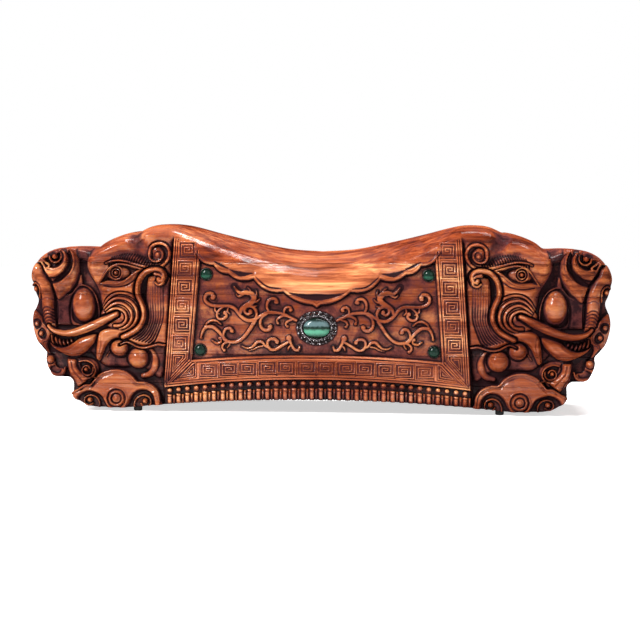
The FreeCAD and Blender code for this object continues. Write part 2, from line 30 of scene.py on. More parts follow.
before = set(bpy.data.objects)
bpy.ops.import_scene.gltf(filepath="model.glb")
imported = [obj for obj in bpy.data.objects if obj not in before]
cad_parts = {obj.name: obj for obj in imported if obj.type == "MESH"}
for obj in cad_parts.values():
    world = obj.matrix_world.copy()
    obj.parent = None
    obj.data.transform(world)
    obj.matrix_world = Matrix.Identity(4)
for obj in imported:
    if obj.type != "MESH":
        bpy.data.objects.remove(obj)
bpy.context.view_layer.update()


def placed(name, data):
    """Object in the scene that shows some data."""
    thing = bpy.data.objects.new(name, data)
    bpy.context.scene.collection.objects.link(thing)
    return thing


# -----------------------------------------------------------------------------
# Camera, at the photograph's viewing angle
# -----------------------------------------------------------------------------
CAMERA_TURN = 4.5
CAMERA_RISE = 2.1
CAMERA_ROLL = 0.3
CAMERA_DISTANCE = 1.3
CAMERA_AIM = Vector((-0.0021, 0.0, 0.0685))
CAMERA_LENS = 93.0


def place_camera():
    """Camera a little right of the middle and just above the object."""
    turn, rise = math.radians(CAMERA_TURN), math.radians(CAMERA_RISE)
    back = Vector((math.sin(turn) * math.cos(rise), -math.cos(turn) * math.cos(rise), math.sin(rise)))
    data = bpy.data.cameras.new("camera")
    data.lens = CAMERA_LENS
    data.clip_start, data.clip_end = 0.05, 20.0
    camera = placed("camera", data)
    camera.location = CAMERA_AIM + back * CAMERA_DISTANCE
    look = (-back).to_track_quat("-Z", "Y").to_matrix()
    camera.rotation_euler = (look @ Matrix.Rotation(math.radians(CAMERA_ROLL), 3, "Z")).to_euler()
    bpy.context.scene.camera = camera


place_camera()


# -----------------------------------------------------------------------------
# Carved relief: one quarter of the block as a map of drops below its full half depth, in millimetres,
# over u, the distance from the middle of the length, and z, the height above the table
# -----------------------------------------------------------------------------
STEP = 0.3
MAP_LENGTH = 222.0
MAP_HEIGHT = 144.0
# how deep the grounds of the carving lie
GROUND = 11.0
FRAME_LEVEL = 2.5
PANEL_LEVEL = 5.6
FRINGE_LEVEL = 8.2

SPIRAL_STEPS = 9
FAR = 1e9
TINY = 1e-9

us = np.arange(0.0, MAP_LENGTH + STEP, STEP)
zs = np.arange(0.0, MAP_HEIGHT + STEP, STEP)
U, Z = np.meshgrid(us, zs)
drop = np.full(U.shape, GROUND)
# map of darkening laid into the wood's colour: staining, and painted shade in cuts, beds and round raised
# forms
stain_and_shade = np.zeros(U.shape)


def curve_through(points, closed=False, per_span=5):
    """Smooth line through given points, as an array of (u, z)."""
    p = np.array(points, float)
    p = np.vstack([p[-1], p, p[:2]]) if closed else np.vstack([2 * p[0] - p[1], p, 2 * p[-1] - p[-2]])
    t = np.linspace(0, 1, per_span, endpoint=False)[:, None]
    spans = []
    for a, b, c, d in zip(p, p[1:], p[2:], p[3:]):
        spans.append(0.5 * (2 * b + (c - a) * t + (2 * a - 5 * b + 4 * c - d) * t ** 2
                            + (3 * b - a - 3 * c + d) * t ** 3))
    line = np.vstack(spans)
    return line if closed else np.vstack([line, p[-2]])


def window(line, reach):
    """Slices of the map that hold a line and its surroundings."""
    low = np.maximum(((line.min(0) - reach) / STEP).astype(int), 0)
    high = ((line.max(0) + reach) / STEP).astype(int) + 2
    return slice(low[1], high[1]), slice(low[0], high[0])


def distance_to(line, area):
    """Distance from each point of a part of the map to a line, and how far along the line it is, 0 to 1."""
    u, z = U[area], Z[area]
    nearest, along = np.full(u.shape, FAR), np.zeros(u.shape)
    lengths = np.hypot(*np.diff(line, axis=0).T)
    reached, total = 0.0, lengths.sum()
    for (u0, z0), (u1, z1), length in zip(line, line[1:], lengths):
        if length < TINY:
            continue
        du, dz = (u1 - u0) / length, (z1 - z0) / length
        step = np.clip((u - u0) * du + (z - z0) * dz, 0, length)
        away = np.hypot(u - u0 - step * du, z - z0 - step * dz)
        closer = away < nearest
        nearest[closer] = away[closer]
        along[closer] = ((reached + step) / total)[closer]
        reached += length
    return nearest, along


def inside(line, area):
    """True where a point of a part of the map lies inside a closed line."""
    u, z = U[area], Z[area]
    odd = np.zeros(u.shape, bool)
    for (u0, z0), (u1, z1) in zip(line, np.roll(line, -1, axis=0)):
        if z0 != z1:
            odd ^= ((z0 > z) != (z1 > z)) & (u < (u1 - u0) * (z - z0) / (z1 - z0) + u0)
    return odd


def beside(points, reach, smooth):
    """Part of the map round a line, with each point's distance from the line and place along it."""
    line = curve_through(points) if smooth else np.array(points, float)
    area = window(line, reach)
    away, along = distance_to(line, area)
    return area, away, along


def within(points, reach, smooth=True):
    """Part of the map round a closed outline, with the points inside it and the distance to its edge."""
    line = curve_through(points, closed=True) if smooth else np.array(points, float)
    area = window(line, reach)
    away, _ = distance_to(np.vstack([line, line[:1]]), area)
    return area, inside(line, area), away


def around(centre, half_u, half_z, turn, reach):
    """Part of the map round an oval turned by degrees, with each point's place in its half sizes."""
    cos, sin = math.cos(math.radians(turn)), math.sin(math.radians(turn))
    area = window(np.array([centre], float), reach)
    u, z = U[area] - centre[0], Z[area] - centre[1]
    return area, (u * cos + z * sin) / half_u, (z * cos - u * sin) / half_z


def moated(here, past, moat, foot):
    """Levels sunk towards a form's foot in a moat round it; past is the distance from the form's edge."""
    if not moat:
        return here
    return np.maximum(here, here + (foot - here) * np.clip(1 - past / moat, 0, 1))


def spread(values, along):
    """Value at each place along a line, from a few values set out evenly along it."""
    values = np.atleast_1d(np.array(values, float))
    return np.interp(along, np.linspace(0, 1, len(values)), values)


def round_rise(share):
    """Rise of a quarter-round edge, 0 at the edge and 1 from share 1 on."""
    return np.sqrt(np.maximum(0.0, 1 - (1 - np.clip(share, 0, 1)) ** 2))


def ridge(points, width, crown, foot, moat=0.0, smooth=True):
    """Half-round band along a line; width and crown may change along it. A moat is cut beside it first."""
    area, away, along = beside(points, np.max(width) / 2 + moat + STEP, smooth)
    half, top = spread(width, along) / 2, spread(crown, along)
    here = moated(drop[area], away - half, moat, foot)
    rise = round_rise(1 - away / np.maximum(half, TINY))
    drop[area] = np.where(away < half, np.minimum(here, foot + (top - foot) * rise), here)


def groove(points, width, depth, smooth=True, softness=1):
    """Round-bottomed cut along a line; depth may change along it, and softness eases its edges."""
    area, away, along = beside(points, width, smooth)
    drop[area] += spread(depth, along) * np.maximum(0.0, 1 - (2 * away / width) ** 2) ** softness


def mass(points, crown, edge, shoulder, smooth=True, moat=0.0):
    """Pillow over a closed outline: it rises from the edge level to the crown over the shoulder's width."""
    area, covered, away = within(points, moat + STEP, smooth)
    here = moated(drop[area], np.where(covered, FAR, away), moat, edge)
    body = edge + (crown - edge) * round_rise(away / shoulder)
    drop[area] = np.where(covered, np.minimum(here, body), here)


def hollow(points, floor, wall):
    """Sinks a closed outline to a floor level, with a wall that slopes over its width."""
    area, covered, away = within(points, STEP)
    here = drop[area]
    sunk = here + (floor - here) * np.clip(away / wall, 0, 1)
    drop[area] = np.where(covered, np.maximum(here, sunk), here)


def boss(centre, half_u, half_z, crown, foot, turn=0.0, moat=0.0):
    """Domed boss, turned about its middle by an angle in degrees."""
    area, across, up = around(centre, half_u, half_z, turn, max(half_u, half_z) + moat + STEP)
    away = np.hypot(across, up)
    past = np.where(away < 1, FAR, (away - 1) * min(half_u, half_z))
    here = moated(drop[area], past, moat, foot)
    rise = np.sqrt(np.maximum(0.0, 1 - away ** 2))
    drop[area] = np.where(away < 1, np.minimum(here, foot + (crown - foot) * rise), here)


def swell(centre, half_u, half_z, height, turn=0.0):
    """Soft bulge added to whatever is there."""
    area, across, up = around(centre, half_u, half_z, turn, 2 * max(half_u, half_z))
    drop[area] -= height * np.exp(-(across ** 2 + up ** 2))


def spiral(centre, start_radius, end_radius, start_angle=0.0, turns=1.0):
    """Points of a spiral that runs anticlockwise from an angle in degrees, or of a circle."""
    line = []
    for step in range(SPIRAL_STEPS + 1):
        share = step / SPIRAL_STEPS
        angle = math.radians(start_angle + 360 * turns * share)
        radius = start_radius + (end_radius - start_radius) * share
        line.append((centre[0] + radius * math.cos(angle), centre[1] + radius * math.sin(angle)))
    return line


# -----------------------------------------------------------------------------
# Elephant head, from the forms that lie deepest to those that stand proudest; places are (u, z)
# -----------------------------------------------------------------------------
# wrinkles across the trunk, from the highest down
TRUNK_WRINKLES = 6
WRINKLE_TOP = 78.2
WRINKLE_PITCH = 2.55
WRINKLE_SHIFT = 0.55
LASHES = 19
EYE = (152.7, 105.2)
ROSETTE = (152.1, 10.0)


def carve_trunk():
    """Rolled trunk at the top of the end, and the trunk that comes down from it."""
    mass([(220, 107), (216, 115), (208, 121.5), (198, 126), (190, 128), (184, 126.5), (181.6, 119),
          (181, 109), (181.6, 103), (184.5, 96), (190, 89.5), (197, 83.8), (201, 90), (206, 98), (212, 105)],
         crown=1.6, edge=10, shoulder=7.5)
    groove([(196, 126.5), (190.2, 122.5), (187.6, 117), (188.2, 110.5), (191.8, 104.8), (197.5, 100.2),
            (203, 99)], 6.2, (4, 7.5))
    hollow([(207.5, 107.4), (203, 107), (197.6, 108.4), (193.4, 112), (191.6, 117), (193, 121),
            (198, 123.4), (204.5, 122.5), (208.5, 117.5), (210.4, 111.8)], 7.4, 3)
    mass([(206.8, 106.6), (196.2, 104.2), (201.6, 97.8), (206.5, 101)], 6.6, 10, 2)
    ridge([(197.5, 126.2), (190.6, 125.2), (186.6, 121), (184.9, 115), (185.3, 109), (188.4, 103.2),
           (193.5, 98.4), (198.6, 95.8)], 1.6, 0.9, foot=4.5)
    ridge([(205.5, 122), (200, 124.2), (194, 122.4), (191.2, 117.4), (192.2, 112.6), (195.8, 109.2),
           (200.6, 107.6), (205, 108.4)], (1.6, 2.6), 0.8, foot=7.2)
    swell((201, 113.5), 5, 5.5, -1.6)
    ridge(spiral((200, 117.4), 6.2, 3.2, 60, 1.1), (1.4, 2), (3, 2.4), foot=8)
    boss((200, 117.6), 2.6, 2.5, 1.4, foot=8.5)
    ridge([(212, 104.2), (208.5, 107.2), (204.2, 110), (208, 113.5), (211, 117)], (2.6, 1.6), 2.6,
          foot=7.5)
    # the trunk itself, with its tube shape, curl at the side and wrinkles
    ridge([(216.5, 106.5), (214.4, 102.2), (210.4, 97), (207.2, 91), (206, 84.8), (205.8, 78.5),
           (205.2, 71.4), (203.9, 65.5), (203, 61.5)], (13.5, 8.4), (0.6, 2.2), foot=10, moat=1.6)
    hollow([(219.8, 96.5), (215.6, 99), (211.6, 95.4), (210.6, 90.6), (211.6, 84.6), (220.6, 84)], 8.5, 1.6)
    ridge([(212, 85.8), (211.9, 91), (213, 95), (216, 97), (218.8, 95.2)], 1.9, 2, foot=8.5)
    boss((215.9, 92.6), 2.3, 2.5, 2.2, foot=8.5)
    for row in range(TRUNK_WRINKLES):
        z = WRINKLE_TOP - WRINKLE_PITCH * row
        shift = WRINKLE_SHIFT * row
        groove([(210.2 - shift, z - 2), (208.0 - shift, z + 0.3), (204.6 - shift, z + 0.6),
                (201.6 - 0.4 * shift, z - 1.3)], 1.5, 1.5)
    groove([(210, 84.5), (206, 86), (201.5, 84.6)], 1.3, 0.8)


def carve_egg():
    """Flat strip and the egg-shaped boss between trunk and head."""
    mass([(200, 84.6), (187.6, 90.6), (183.4, 96.4), (181.4, 104.4), (179.6, 103.6), (178.6, 95.6),
          (183, 92.2), (187.4, 87), (189, 80), (189, 73.5), (187.8, 65), (199, 65)],
         7.6, 10.4, 1.6, smooth=False)
    darken_area([(199, 84), (188, 88), (189, 73.5), (188, 66), (199, 66)], 0.24)
    groove([(198.9, 83), (198.4, 74), (198.9, 66)], 1.4, 1.6)
    mass([(178.5, 95.6), (173, 92.6), (168.8, 87.4), (166.6, 80.4), (165.6, 72.4), (166.2, 66.6),
          (172, 64.5), (182, 64), (188, 66), (189, 75), (188, 84), (184.5, 91)], 8.4, 10.8, 2)
    hollow([(178.3, 95), (173.6, 92.4), (169.6, 87), (167.4, 80.4), (166.8, 72.6), (168.8, 66.8),
            (178, 65), (186.4, 68), (188, 76), (187, 84), (183.6, 90.6)], 10.6, 1)
    boss((178, 80.6), 9.4, 13.7, 0.4, foot=10.8, turn=-4)
    ridge([(181.5, 95.6), (177.5, 95.4), (173, 93), (169.4, 88.4), (167.2, 82), (166.2, 75),
           (166.4, 69.5)], 1.1, 6.2, foot=10)


def carve_jaw():
    """Mouth with its teeth, the lower lip and the small knobs and rims on the edge beside them."""
    mass([(218.5, 76), (214, 74.4), (208.6, 69.2), (204.8, 62.2), (203.6, 56), (206.4, 50.4),
          (204.6, 44.2), (201.2, 40.2), (198.8, 33), (192, 31.6), (194, 27), (201, 24.8), (208, 28),
          (212.6, 40), (216.2, 52), (220.5, 64)], 5, 9.5, 3)
    hollow([(218.6, 68.2), (215.2, 70.6), (211.8, 69.2), (210.6, 65.6), (212.4, 62.2), (216.4, 61.8)],
           7.6, 1.2)
    hollow([(214.4, 58.8), (211.6, 63.4), (208.6, 62.2), (206.4, 58.6), (207.4, 55), (211.4, 54.2)],
           7.8, 1.2)
    ridge([(217.4, 71.6), (213.8, 71.9), (210.9, 69.8), (209.8, 66.4), (207.4, 63.8), (205, 60.6),
           (204.7, 57.2), (206.6, 54), (209.4, 52.8), (210.2, 50.6)], 1.4, 3, foot=7.5)
    boss((215, 66.1), 2, 2.1, 2.6, foot=8)
    boss((211.3, 58.6), 2.1, 2.2, 2.8, foot=8)
    groove([(211.8, 50), (208.8, 46.6), (206.4, 43.4), (202.6, 41.8)], 2.4, 3)
    boss((203.9, 38.9), 3.1, 3.1, 2.2, foot=8.2, moat=1.2)
    hollow([(203.6, 34.6), (205.4, 31), (202.6, 28.4), (198.4, 27.6), (195.2, 28.8), (194.6, 32.4),
            (198.6, 35.4)], 8.6, 1.6)
    ridge([(206.4, 33.4), (204.4, 29), (200.6, 26.8), (196.4, 27), (193.2, 29.4), (192, 33)],
          1.3, 3.8, foot=7.5)
    # open mouth
    hollow([(203.4, 58.6), (197, 57.2), (190, 57), (184, 57), (182.6, 53.6), (187, 50.4),
            (193, 48.4), (199, 48.4), (204, 52.8)], 12.2, 1.4)
    for place in ((199.4, 53.2), (196.4, 51.8), (193.3, 51), (190.2, 51.2), (187.2, 52.2)):
        boss(place, 1, 3.4, 5.6, foot=11, turn=-22)
    ridge([(202.8, 57.2), (202.4, 53.6), (201.6, 51.4)], 1.3, 4, foot=10)
    # lower lip
    mass([(204.8, 52.2), (200.6, 49.2), (195.4, 48), (190.6, 49.2), (186, 51.8), (182.4, 54.6),
          (176.6, 57.2), (170, 58.8), (167.4, 57.8), (168.8, 53), (172.4, 48.4), (176.6, 44.4),
          (181.4, 41.6), (186.6, 41), (192.4, 42.6), (198.2, 45.6), (202.4, 48.6)],
         0.9, 9.6, 4.4, moat=1.6)
    groove([(200.6, 48), (193.4, 46.2), (187.6, 48), (182.6, 52)], 1.2, 0.5)


def carve_chin():
    """Curled tuft under the chin."""
    mass([(191.5, 39.4), (185, 41.6), (177, 41), (168.8, 38), (166.2, 31), (169.2, 23.6),
          (175, 19.6), (180, 16), (185, 20.2), (189.6, 27)], 6.4, 10.4, 3)
    mass([(190.4, 38.2), (187.2, 39.6), (183.4, 38.8), (182.8, 34), (179.4, 29.4), (174, 25),
          (176.2, 21.8), (179.6, 18), (182.6, 19), (185, 23.6), (188.6, 28.6)],
         2.6, 7.8, 2.8, moat=1.2)
    groove([(186.8, 37), (185.4, 31), (181, 25.8), (178.2, 22.6)], 1.4, 1.1)
    hollow([(181.4, 36.6), (176.4, 38.2), (170.8, 35.4), (168.6, 30.8), (171.4, 26), (175.4, 25.4),
            (179, 29)], 9, 1.4)
    ridge([(181.2, 37.6), (176, 38.3), (170.9, 36), (168.6, 31.6), (169.8, 27.4), (173.4, 25),
           (177.6, 25.2)], 1.4, 3.4, foot=8.8)
    ridge(spiral((175.4, 31.4), 5.2, 2.4, 160), 1.2, 4, foot=9.2)
    boss((176, 31.6), 1.7, 1.7, 3, foot=9)


def carve_face():
    """Head itself: forehead, brow, the bulge beside it and the skin round the eye."""
    mass([(168.7, 128.4), (171.6, 125), (174, 120.8), (175.6, 115.6), (176, 110.6), (174.8, 106.4),
          (172.6, 102.4), (170.2, 98.4), (167.9, 94.4), (166, 89.4), (165.2, 84), (163.6, 79.2),
          (159, 75), (150, 66), (140, 60), (132, 62), (129.5, 72), (131, 84), (134.6, 92), (133, 100),
          (127, 105.4), (119, 106.4), (111, 104.4), (109.4, 112), (108, 130), (107.5, 146), (130, 148),
          (150, 142), (162, 134)], 3.6, 10.6, 7)
    swell((158.5, 121), 13, 7.4, 2.6, turn=-24)
    swell((147, 128.6), 10, 6, 1.2, turn=-24)
    swell((127.5, 133.5), 7, 10, 2.2, turn=20)
    swell((170.8, 108), 3.6, 9, 1.4, turn=8)
    groove([(142.5, 147), (140.4, 139.5), (138.4, 134), (135.6, 127.6), (132.6, 121.4), (129, 116)],
           17, (2.6, 3.6, 4.4, 3.4), softness=2)
    groove([(168.2, 112.6), (163.4, 114.6), (158.6, 117), (151, 119.6), (142.4, 120), (135, 118.4),
            (128.6, 114.6)], 7, (0.2, 1.5, 1.8, 1.6, 0.8), softness=2)
    # the step down from the forehead to the eye, where the lashes are cut
    hollow([(168, 102), (165, 109), (160, 114.4), (152.4, 117.6), (143.4, 118.2), (134.6, 116.4),
            (127.8, 112.4), (120, 109.4), (128, 107.2), (138, 106.4), (150, 109), (160, 103), (165, 97.6)],
           4.6, 4)
    for lash in range(LASHES):
        share = lash / (LASHES - 1)
        u = 158.0 - 34.0 * share
        z = 111.6 + 3.4 * math.sin(math.pi * min(1, share * 1.25)) - 1.8 * share
        lean = 1.5 - 0.2 * share
        hair = [(u + 0.2, z - 1.2), (u - 0.3 * lean, z + 1.8), (u - 1.8 * lean, z + 5.4)]
        groove(hair, 1.25, (2.4, 1))
        # painted shade in the lash's cut
        darken(hair, 0.9, 0.35)
    # cheek below the eye
    swell((152, 90.6), 9, 4.6, 1.6, turn=-8)
    swell((157.5, 84.5), 4.2, 6.5, 1.2)


def carve_eye():
    """Almond eye with its lids, and the brow that runs out into a curl."""
    hollow([(164.4, 98.4), (160.4, 105), (156, 109.6), (150.4, 111.4), (144.6, 110.8), (139, 109),
            (132.6, 107.6), (138, 103.8), (143, 100.6), (148, 98.9), (153.4, 98.4), (159, 98.6)],
           7.6, 1.6)
    boss((151.6, 104.9), 9.4, 5.6, 3.3, foot=7.4, turn=-4)
    ridge([(165.6, 97.2), (161, 104.4), (157, 109.2), (151.4, 111.7), (145.2, 111.5), (139, 110),
           (133.4, 108.4), (128, 107.6)], (1.2, 1.7), 1, foot=6)
    ridge([(166.2, 97), (158.6, 97.2), (152.8, 96.9), (146.9, 98.5), (142.8, 101.2), (138.8, 104.6),
           (134.4, 106.8), (129.6, 107.6)], (1.2, 2.4), 1.2, foot=6.4)
    groove([(162, 95.4), (153.4, 94.4), (145.4, 95.6), (139.6, 99), (134.8, 103)], 1.4, 1.5)
    ridge(spiral(EYE, 5.1, 5.1, 200), 1.1, 2.7, foot=7.4)
    hollow(spiral(EYE, 4.4, 4.4)[:-1], 7.2, 1)
    ridge(spiral(EYE, 3, 3, 200), 1, 2.6, foot=7)
    boss(EYE, 1.7, 1.7, 1.4, foot=7)
    # brow line and its curl
    ridge([(160.4, 112.4), (156.4, 113.9), (151, 114.6), (145.4, 113.9), (139, 112.1), (132, 110.3),
           (126, 109.2), (120, 109.7), (114.9, 112.6), (112, 117.6), (112, 122.4), (114.6, 126.2),
           (119, 127.7), (123.6, 126.4), (126.6, 123), (127.2, 118.8)], (1.5, 3), (1.8, 0.8), foot=6,
          moat=1)
    groove([(127.8, 116.8), (127.2, 122.4), (123.4, 125.2), (118.6, 125.2), (115, 121.4), (115.6, 116.4),
            (119.6, 113.2), (124.4, 112.9)], 2.6, (1.4, 2.4))
    ridge([(127.2, 119.2), (126.3, 115.8), (123.2, 114), (119.4, 114.6), (117, 117.6), (117.4, 121.2),
           (120.2, 122.9), (122.8, 121.4)], (1.9, 1.5), (1.2, 2), foot=5.4)
    boss((120.6, 118.9), 2.4, 2.4, 1, foot=5.4)


def carve_ear():
    """Ear: the folded edge, the fluted flap below it and the edge of its fan."""
    mass([(129.4, 99), (127, 103.2), (119, 104.4), (111.4, 101), (111.4, 90), (112.4, 75),
          (113.4, 60), (114, 50.6), (121, 51.6), (127, 50.4), (132, 49.2), (138, 50.6), (144.2, 53.6),
          (148.8, 52.4), (144.6, 57.6), (137.6, 61), (131.8, 66.2), (129.4, 74), (130.2, 85)],
         5.4, 9.4, 3)
    swell((138, 54.8), 7, 3, 1.8, turn=22)
    tops = [(128.6, 96), (126.8, 97.2), (124.9, 98), (122.9, 98.4), (120.9, 98.6), (118.9, 98.4),
            (117, 97.6)]
    for number, (u, z) in enumerate(tops):
        share = number / (len(tops) - 1)
        line = [(u, z), (u - 0.3 * share, 82), (128.0 - 11.0 * share, 71),
                (130.4 - 10.4 * share, 63.5 - 2.0 * share), (135.0 - 12.0 * share, 58.0 - 3.6 * share),
                (139.5 - 14.0 * share, 55.2 - 3.4 * share)]
        groove(line, 1.9, (0.5, 0.9, 1.7, 2.2), softness=1.4)
    ridge([(149.4, 50.8), (144.8, 52.6), (140.8, 51.4), (136.8, 49.2), (131.4, 48.4), (126.4, 49.4),
           (121, 50.9), (115.4, 50.4)], (1.2, 1.8), 3, foot=8.8, moat=1.2)
    # folded edge of the ear
    ridge([(119.4, 99.2), (117.4, 99.6), (116.1, 102), (116.4, 105), (119.2, 107.4), (123.8, 107.9),
           (129, 106.5), (132.9, 103.2), (135.4, 98.3), (136.3, 92.8), (135.8, 88), (133.6, 83.2),
           (131.9, 78.6), (131.3, 73.9), (132.2, 69.2), (134.9, 64.4), (138.8, 61), (143.4, 58.4),
           (147.4, 56.6)], (4.4, 4.2), (0.5, 1.4), foot=8.8, moat=1.8)
    groove([(132.2, 104.6), (135.8, 99), (137.2, 93), (136.4, 87.6), (134.2, 82.6)], 1, 0.6)
    ridge([(122.6, 104.6), (118.6, 103.6), (116.2, 100.8), (117, 97.4), (120, 96.2), (122.6, 98)],
          (3.4, 2), (0.8, 1.4), foot=7.8)
    boss((119.9, 100.5), 2.2, 2.2, 1, foot=7)


def carve_cheek():
    """Folds of the cheek round the root of the tusk, from the outermost in."""
    folds = [
        [(162, 79.6), (159.4, 84.6), (155.4, 88.3), (150, 89.9), (144, 89.2), (138.4, 86.6),
         (134.6, 81.8), (133, 76), (133.8, 70), (136.8, 64.9), (141, 61.4), (146, 59.4)],
        [(161.4, 78.4), (157.6, 83), (153.2, 85.7), (148.6, 86), (143.6, 84.8), (139.6, 81.8),
         (137, 77.4), (136.4, 72.4), (138, 67.4), (141.4, 63.6), (145.8, 61.6)],
        [(160.4, 76.6), (156.6, 80.2), (152.4, 82.2), (148, 82), (144, 79.8), (141, 76.2),
         (140.4, 71.6), (142, 67.2), (145.4, 64.4), (149.4, 63.2)],
        [(159.6, 75), (156, 77.4), (152, 78.2), (148, 77), (145.2, 74.2), (144.6, 70.4),
         (146.4, 67), (149.8, 65.2), (153.6, 65)],
    ]
    crowns = (2, 1.7, 1.7, 2)
    mass(folds[0] + [(156, 62), (163, 67), (165, 74)], 4.4, 9.6, 3)
    for line, crown in zip(folds, crowns):
        ridge(line, (2.4, 3.2), crown, foot=7.2, moat=0.6)


def carve_below_ear():
    """Flesh under the tusk's root with its pointed end, two balls and the crescent beside them."""
    mass([(165.6, 60.4), (158, 63.6), (148, 63), (141.6, 59.6), (145.4, 55.4), (151, 55.6),
          (156.4, 53.4), (160, 49), (162.4, 43.6), (165.2, 38.4), (168.2, 39.6), (168.6, 45),
          (167.8, 52)], 1.8, 10.2, 3.2)
    groove([(164.4, 57.6), (163.6, 50), (165.8, 42)], 1.5, 0.8)
    ridge([(160.6, 52.6), (157.4, 50.4), (157.6, 46.4), (160.6, 41.6)], 1.2, 6.4, foot=10.4)
    ridge([(127.4, 48), (124.6, 44.6), (122.9, 39.2), (123.8, 33.2), (127.4, 28.6), (132.6, 27)],
          (3, 6.8, 4), (6.6, 5.4, 7.4), foot=9.6)
    boss((150.4, 48.2), 7.3, 6.9, 0.8, foot=10.4, moat=1, turn=10)
    boss((136, 40.6), 8.4, 8.4, 0.7, foot=10.4, moat=1)


def carve_tusk():
    """Tusk, from its tip by the trunk to its rounded root in the cheek."""
    ridge([(205, 64.6), (202, 61.6), (198.4, 60), (194.4, 59.2), (190, 59), (185, 59.7),
           (179.6, 61.4), (174, 63.5), (167.9, 66.2), (160.4, 69.9), (154.6, 72.9), (152.2, 74)],
          (2.8, 4.6, 6.2, 7.2, 6.8, 4.4), (1.6, 0.6, 0, 0, 1.6), foot=8.8, moat=1.6)
    groove([(203, 60.6), (195, 57.6), (186, 57.8), (176, 60.8), (166.6, 64.4)], 1, 0.7)


def carve_cloud():
    """Cloud scroll in the bottom corner, with its rosette and two curls."""
    mass([(187.4, 5), (187, 14.6), (181, 17.4), (176.4, 20.4), (172.2, 20.8), (169.4, 24.4),
          (165.6, 28.4), (160.8, 30.9), (155.6, 32.2), (150.4, 32.2), (144.8, 30.8), (139.4, 27.4),
          (135.6, 23.2), (129.4, 22.7), (123.4, 19.9), (119.4, 15), (118.3, 9), (118.8, 2),
          (150, -4), (186, -2)], 2.2, 10.4, 3.4, moat=1.6)
    ridge([(187.2, 13), (181.4, 16.4), (176.6, 19.3), (172.2, 19.7), (168.9, 23.2), (165, 27.2),
           (160.4, 29.7), (155.4, 31), (150.6, 31), (145.4, 29.7), (140.4, 26.5), (136.4, 22.4),
           (129.8, 21.6), (124.2, 18.9), (120.5, 14.4), (119.5, 9), (119.8, 2.4)], 1.5, 1.3, foot=4.6)
    groove([(179, 16.4), (172.6, 17.4), (167.6, 21.8), (163.6, 25.6), (155.6, 28.8), (150.6, 28.8),
            (142.8, 25.8), (137.2, 20.6), (130, 19.6), (124.4, 16)], 2, 0.9)
    swell((158, 20), 8, 6, 0.5)
    # hollows beside the rosette with their curls
    hollow([(145.4, 2), (143.6, 8), (140.6, 13.6), (135.4, 17.2), (129.4, 17.6), (124.4, 14.4),
            (122.2, 9), (122.8, 2), (133, -2)], 8.2, 2.2)
    hollow([(158.8, 2), (160.6, 8), (163.4, 12.6), (168.6, 15.4), (174.6, 16.4), (180.4, 14),
            (183.6, 9.6), (183, 3), (171, -2)], 8.4, 2.2)
    ridge([(138.8, 2), (138.6, 6.8), (136.2, 10.6), (131.8, 12.4), (127.4, 10.8), (126, 7),
           (127.8, 4), (131.4, 3.4), (133.8, 5.8)], 1.3, 4, foot=8.6)
    boss((130.6, 8), 2.2, 2, 3, foot=8.4)
    ridge([(165.6, 2.6), (165.6, 7.2), (168.2, 10.8), (172.8, 12), (176.8, 9.8), (176.8, 6),
           (173.8, 4.2), (170.8, 5.8)], 1.3, 4, foot=8.6)
    boss((173, 8.4), 2.2, 2, 3, foot=8.4)
    # rosette
    for radius, crown in ((8.1, 1.2), (5, 1.1)):
        groove(spiral(ROSETTE, radius - 1.25, radius - 1.25), 1.7, 1.6)
        ridge(spiral(ROSETTE, radius, radius), 1.3, crown, foot=3)
    boss(ROSETTE, 2.6, 2.6, 0.8, foot=4.4)


def carve_head():
    """Whole head, in the order in which its forms lie over one another."""
    mass([(182, 60), (165, 36), (150, 33), (134, 34), (118, 26), (116, 60), (140, 60), (160, 66)],
         8.2, 11, 4)
    carve_trunk()
    carve_egg()
    carve_jaw()
    carve_chin()
    carve_face()
    carve_eye()
    carve_cheek()
    carve_below_ear()
    carve_ear()
    carve_tusk()
    carve_cloud()


# -----------------------------------------------------------------------------
# Hanging cloth between the heads: frame, panel, scalloped edge, vine and the flat behind the fringe
# -----------------------------------------------------------------------------
FRAME_TOP = (107.4, 143)
FRAME_FOOT = (115.8, 18.5)
PANEL_TOP = (88.6, 120.5)
PANEL_FOOT = (94.8, 39.2)
CREST_FOOT = (126, 126)
CLOTH_RISE = 4.5
FRINGE_RISE = 7.2
ARCH_RISE = 7.5
ARCH_HALF_SPAN = 142.0
SCALLOPS = [(91.5, 121.6), (77.5, 112.8), (66.6, 106.4), (47.5, 102.9), (24.9, 93.2), (3, 83.6),
            (0, 81.4)]
SCALLOP_SAGS = [0.17, 0.17, 0.17, 0.17, 0.10, 0]
# dark crescents cut above the scalloped edge, with their widths; their darkness is painted shade
CRESCENTS = [([(77.6, 114.4), (72.4, 111.4), (67.2, 109)], (0.2, 1.8, 0.2)),
             ([(66.2, 108.4), (57.4, 104.8), (48.6, 105.4)], (0.4, 3.6, 0.4)),
             ([(46, 102.4), (37.5, 95.6), (27, 93.9)], (0.3, 0.9, 0.2)),
             ([(20.4, 90.8), (10, 88.4), (-1, 87.6)], (0.3, 3.4, 5.2))]
FRET_SIDE = 12.7
FRET_KEYS = 6
SIDE_KEY_START = 52.0
SIDE_KEY_PITCH = 14.1
SIDE_KEY_SHRINK = 0.12
FOOT_KEY_START = (7.6, 28.9)
FOOT_KEY_PITCH = 14.7
FOOT_KEY_HALF = (6.8, 5.3)
FOOT_KEY_RISE = CLOTH_RISE + 0.9
SCALLOP_STEPS = 12
CENTRE_SEAT_HALF = (15.6, 13.1)
BIRD_EYE = (52, 89.8)
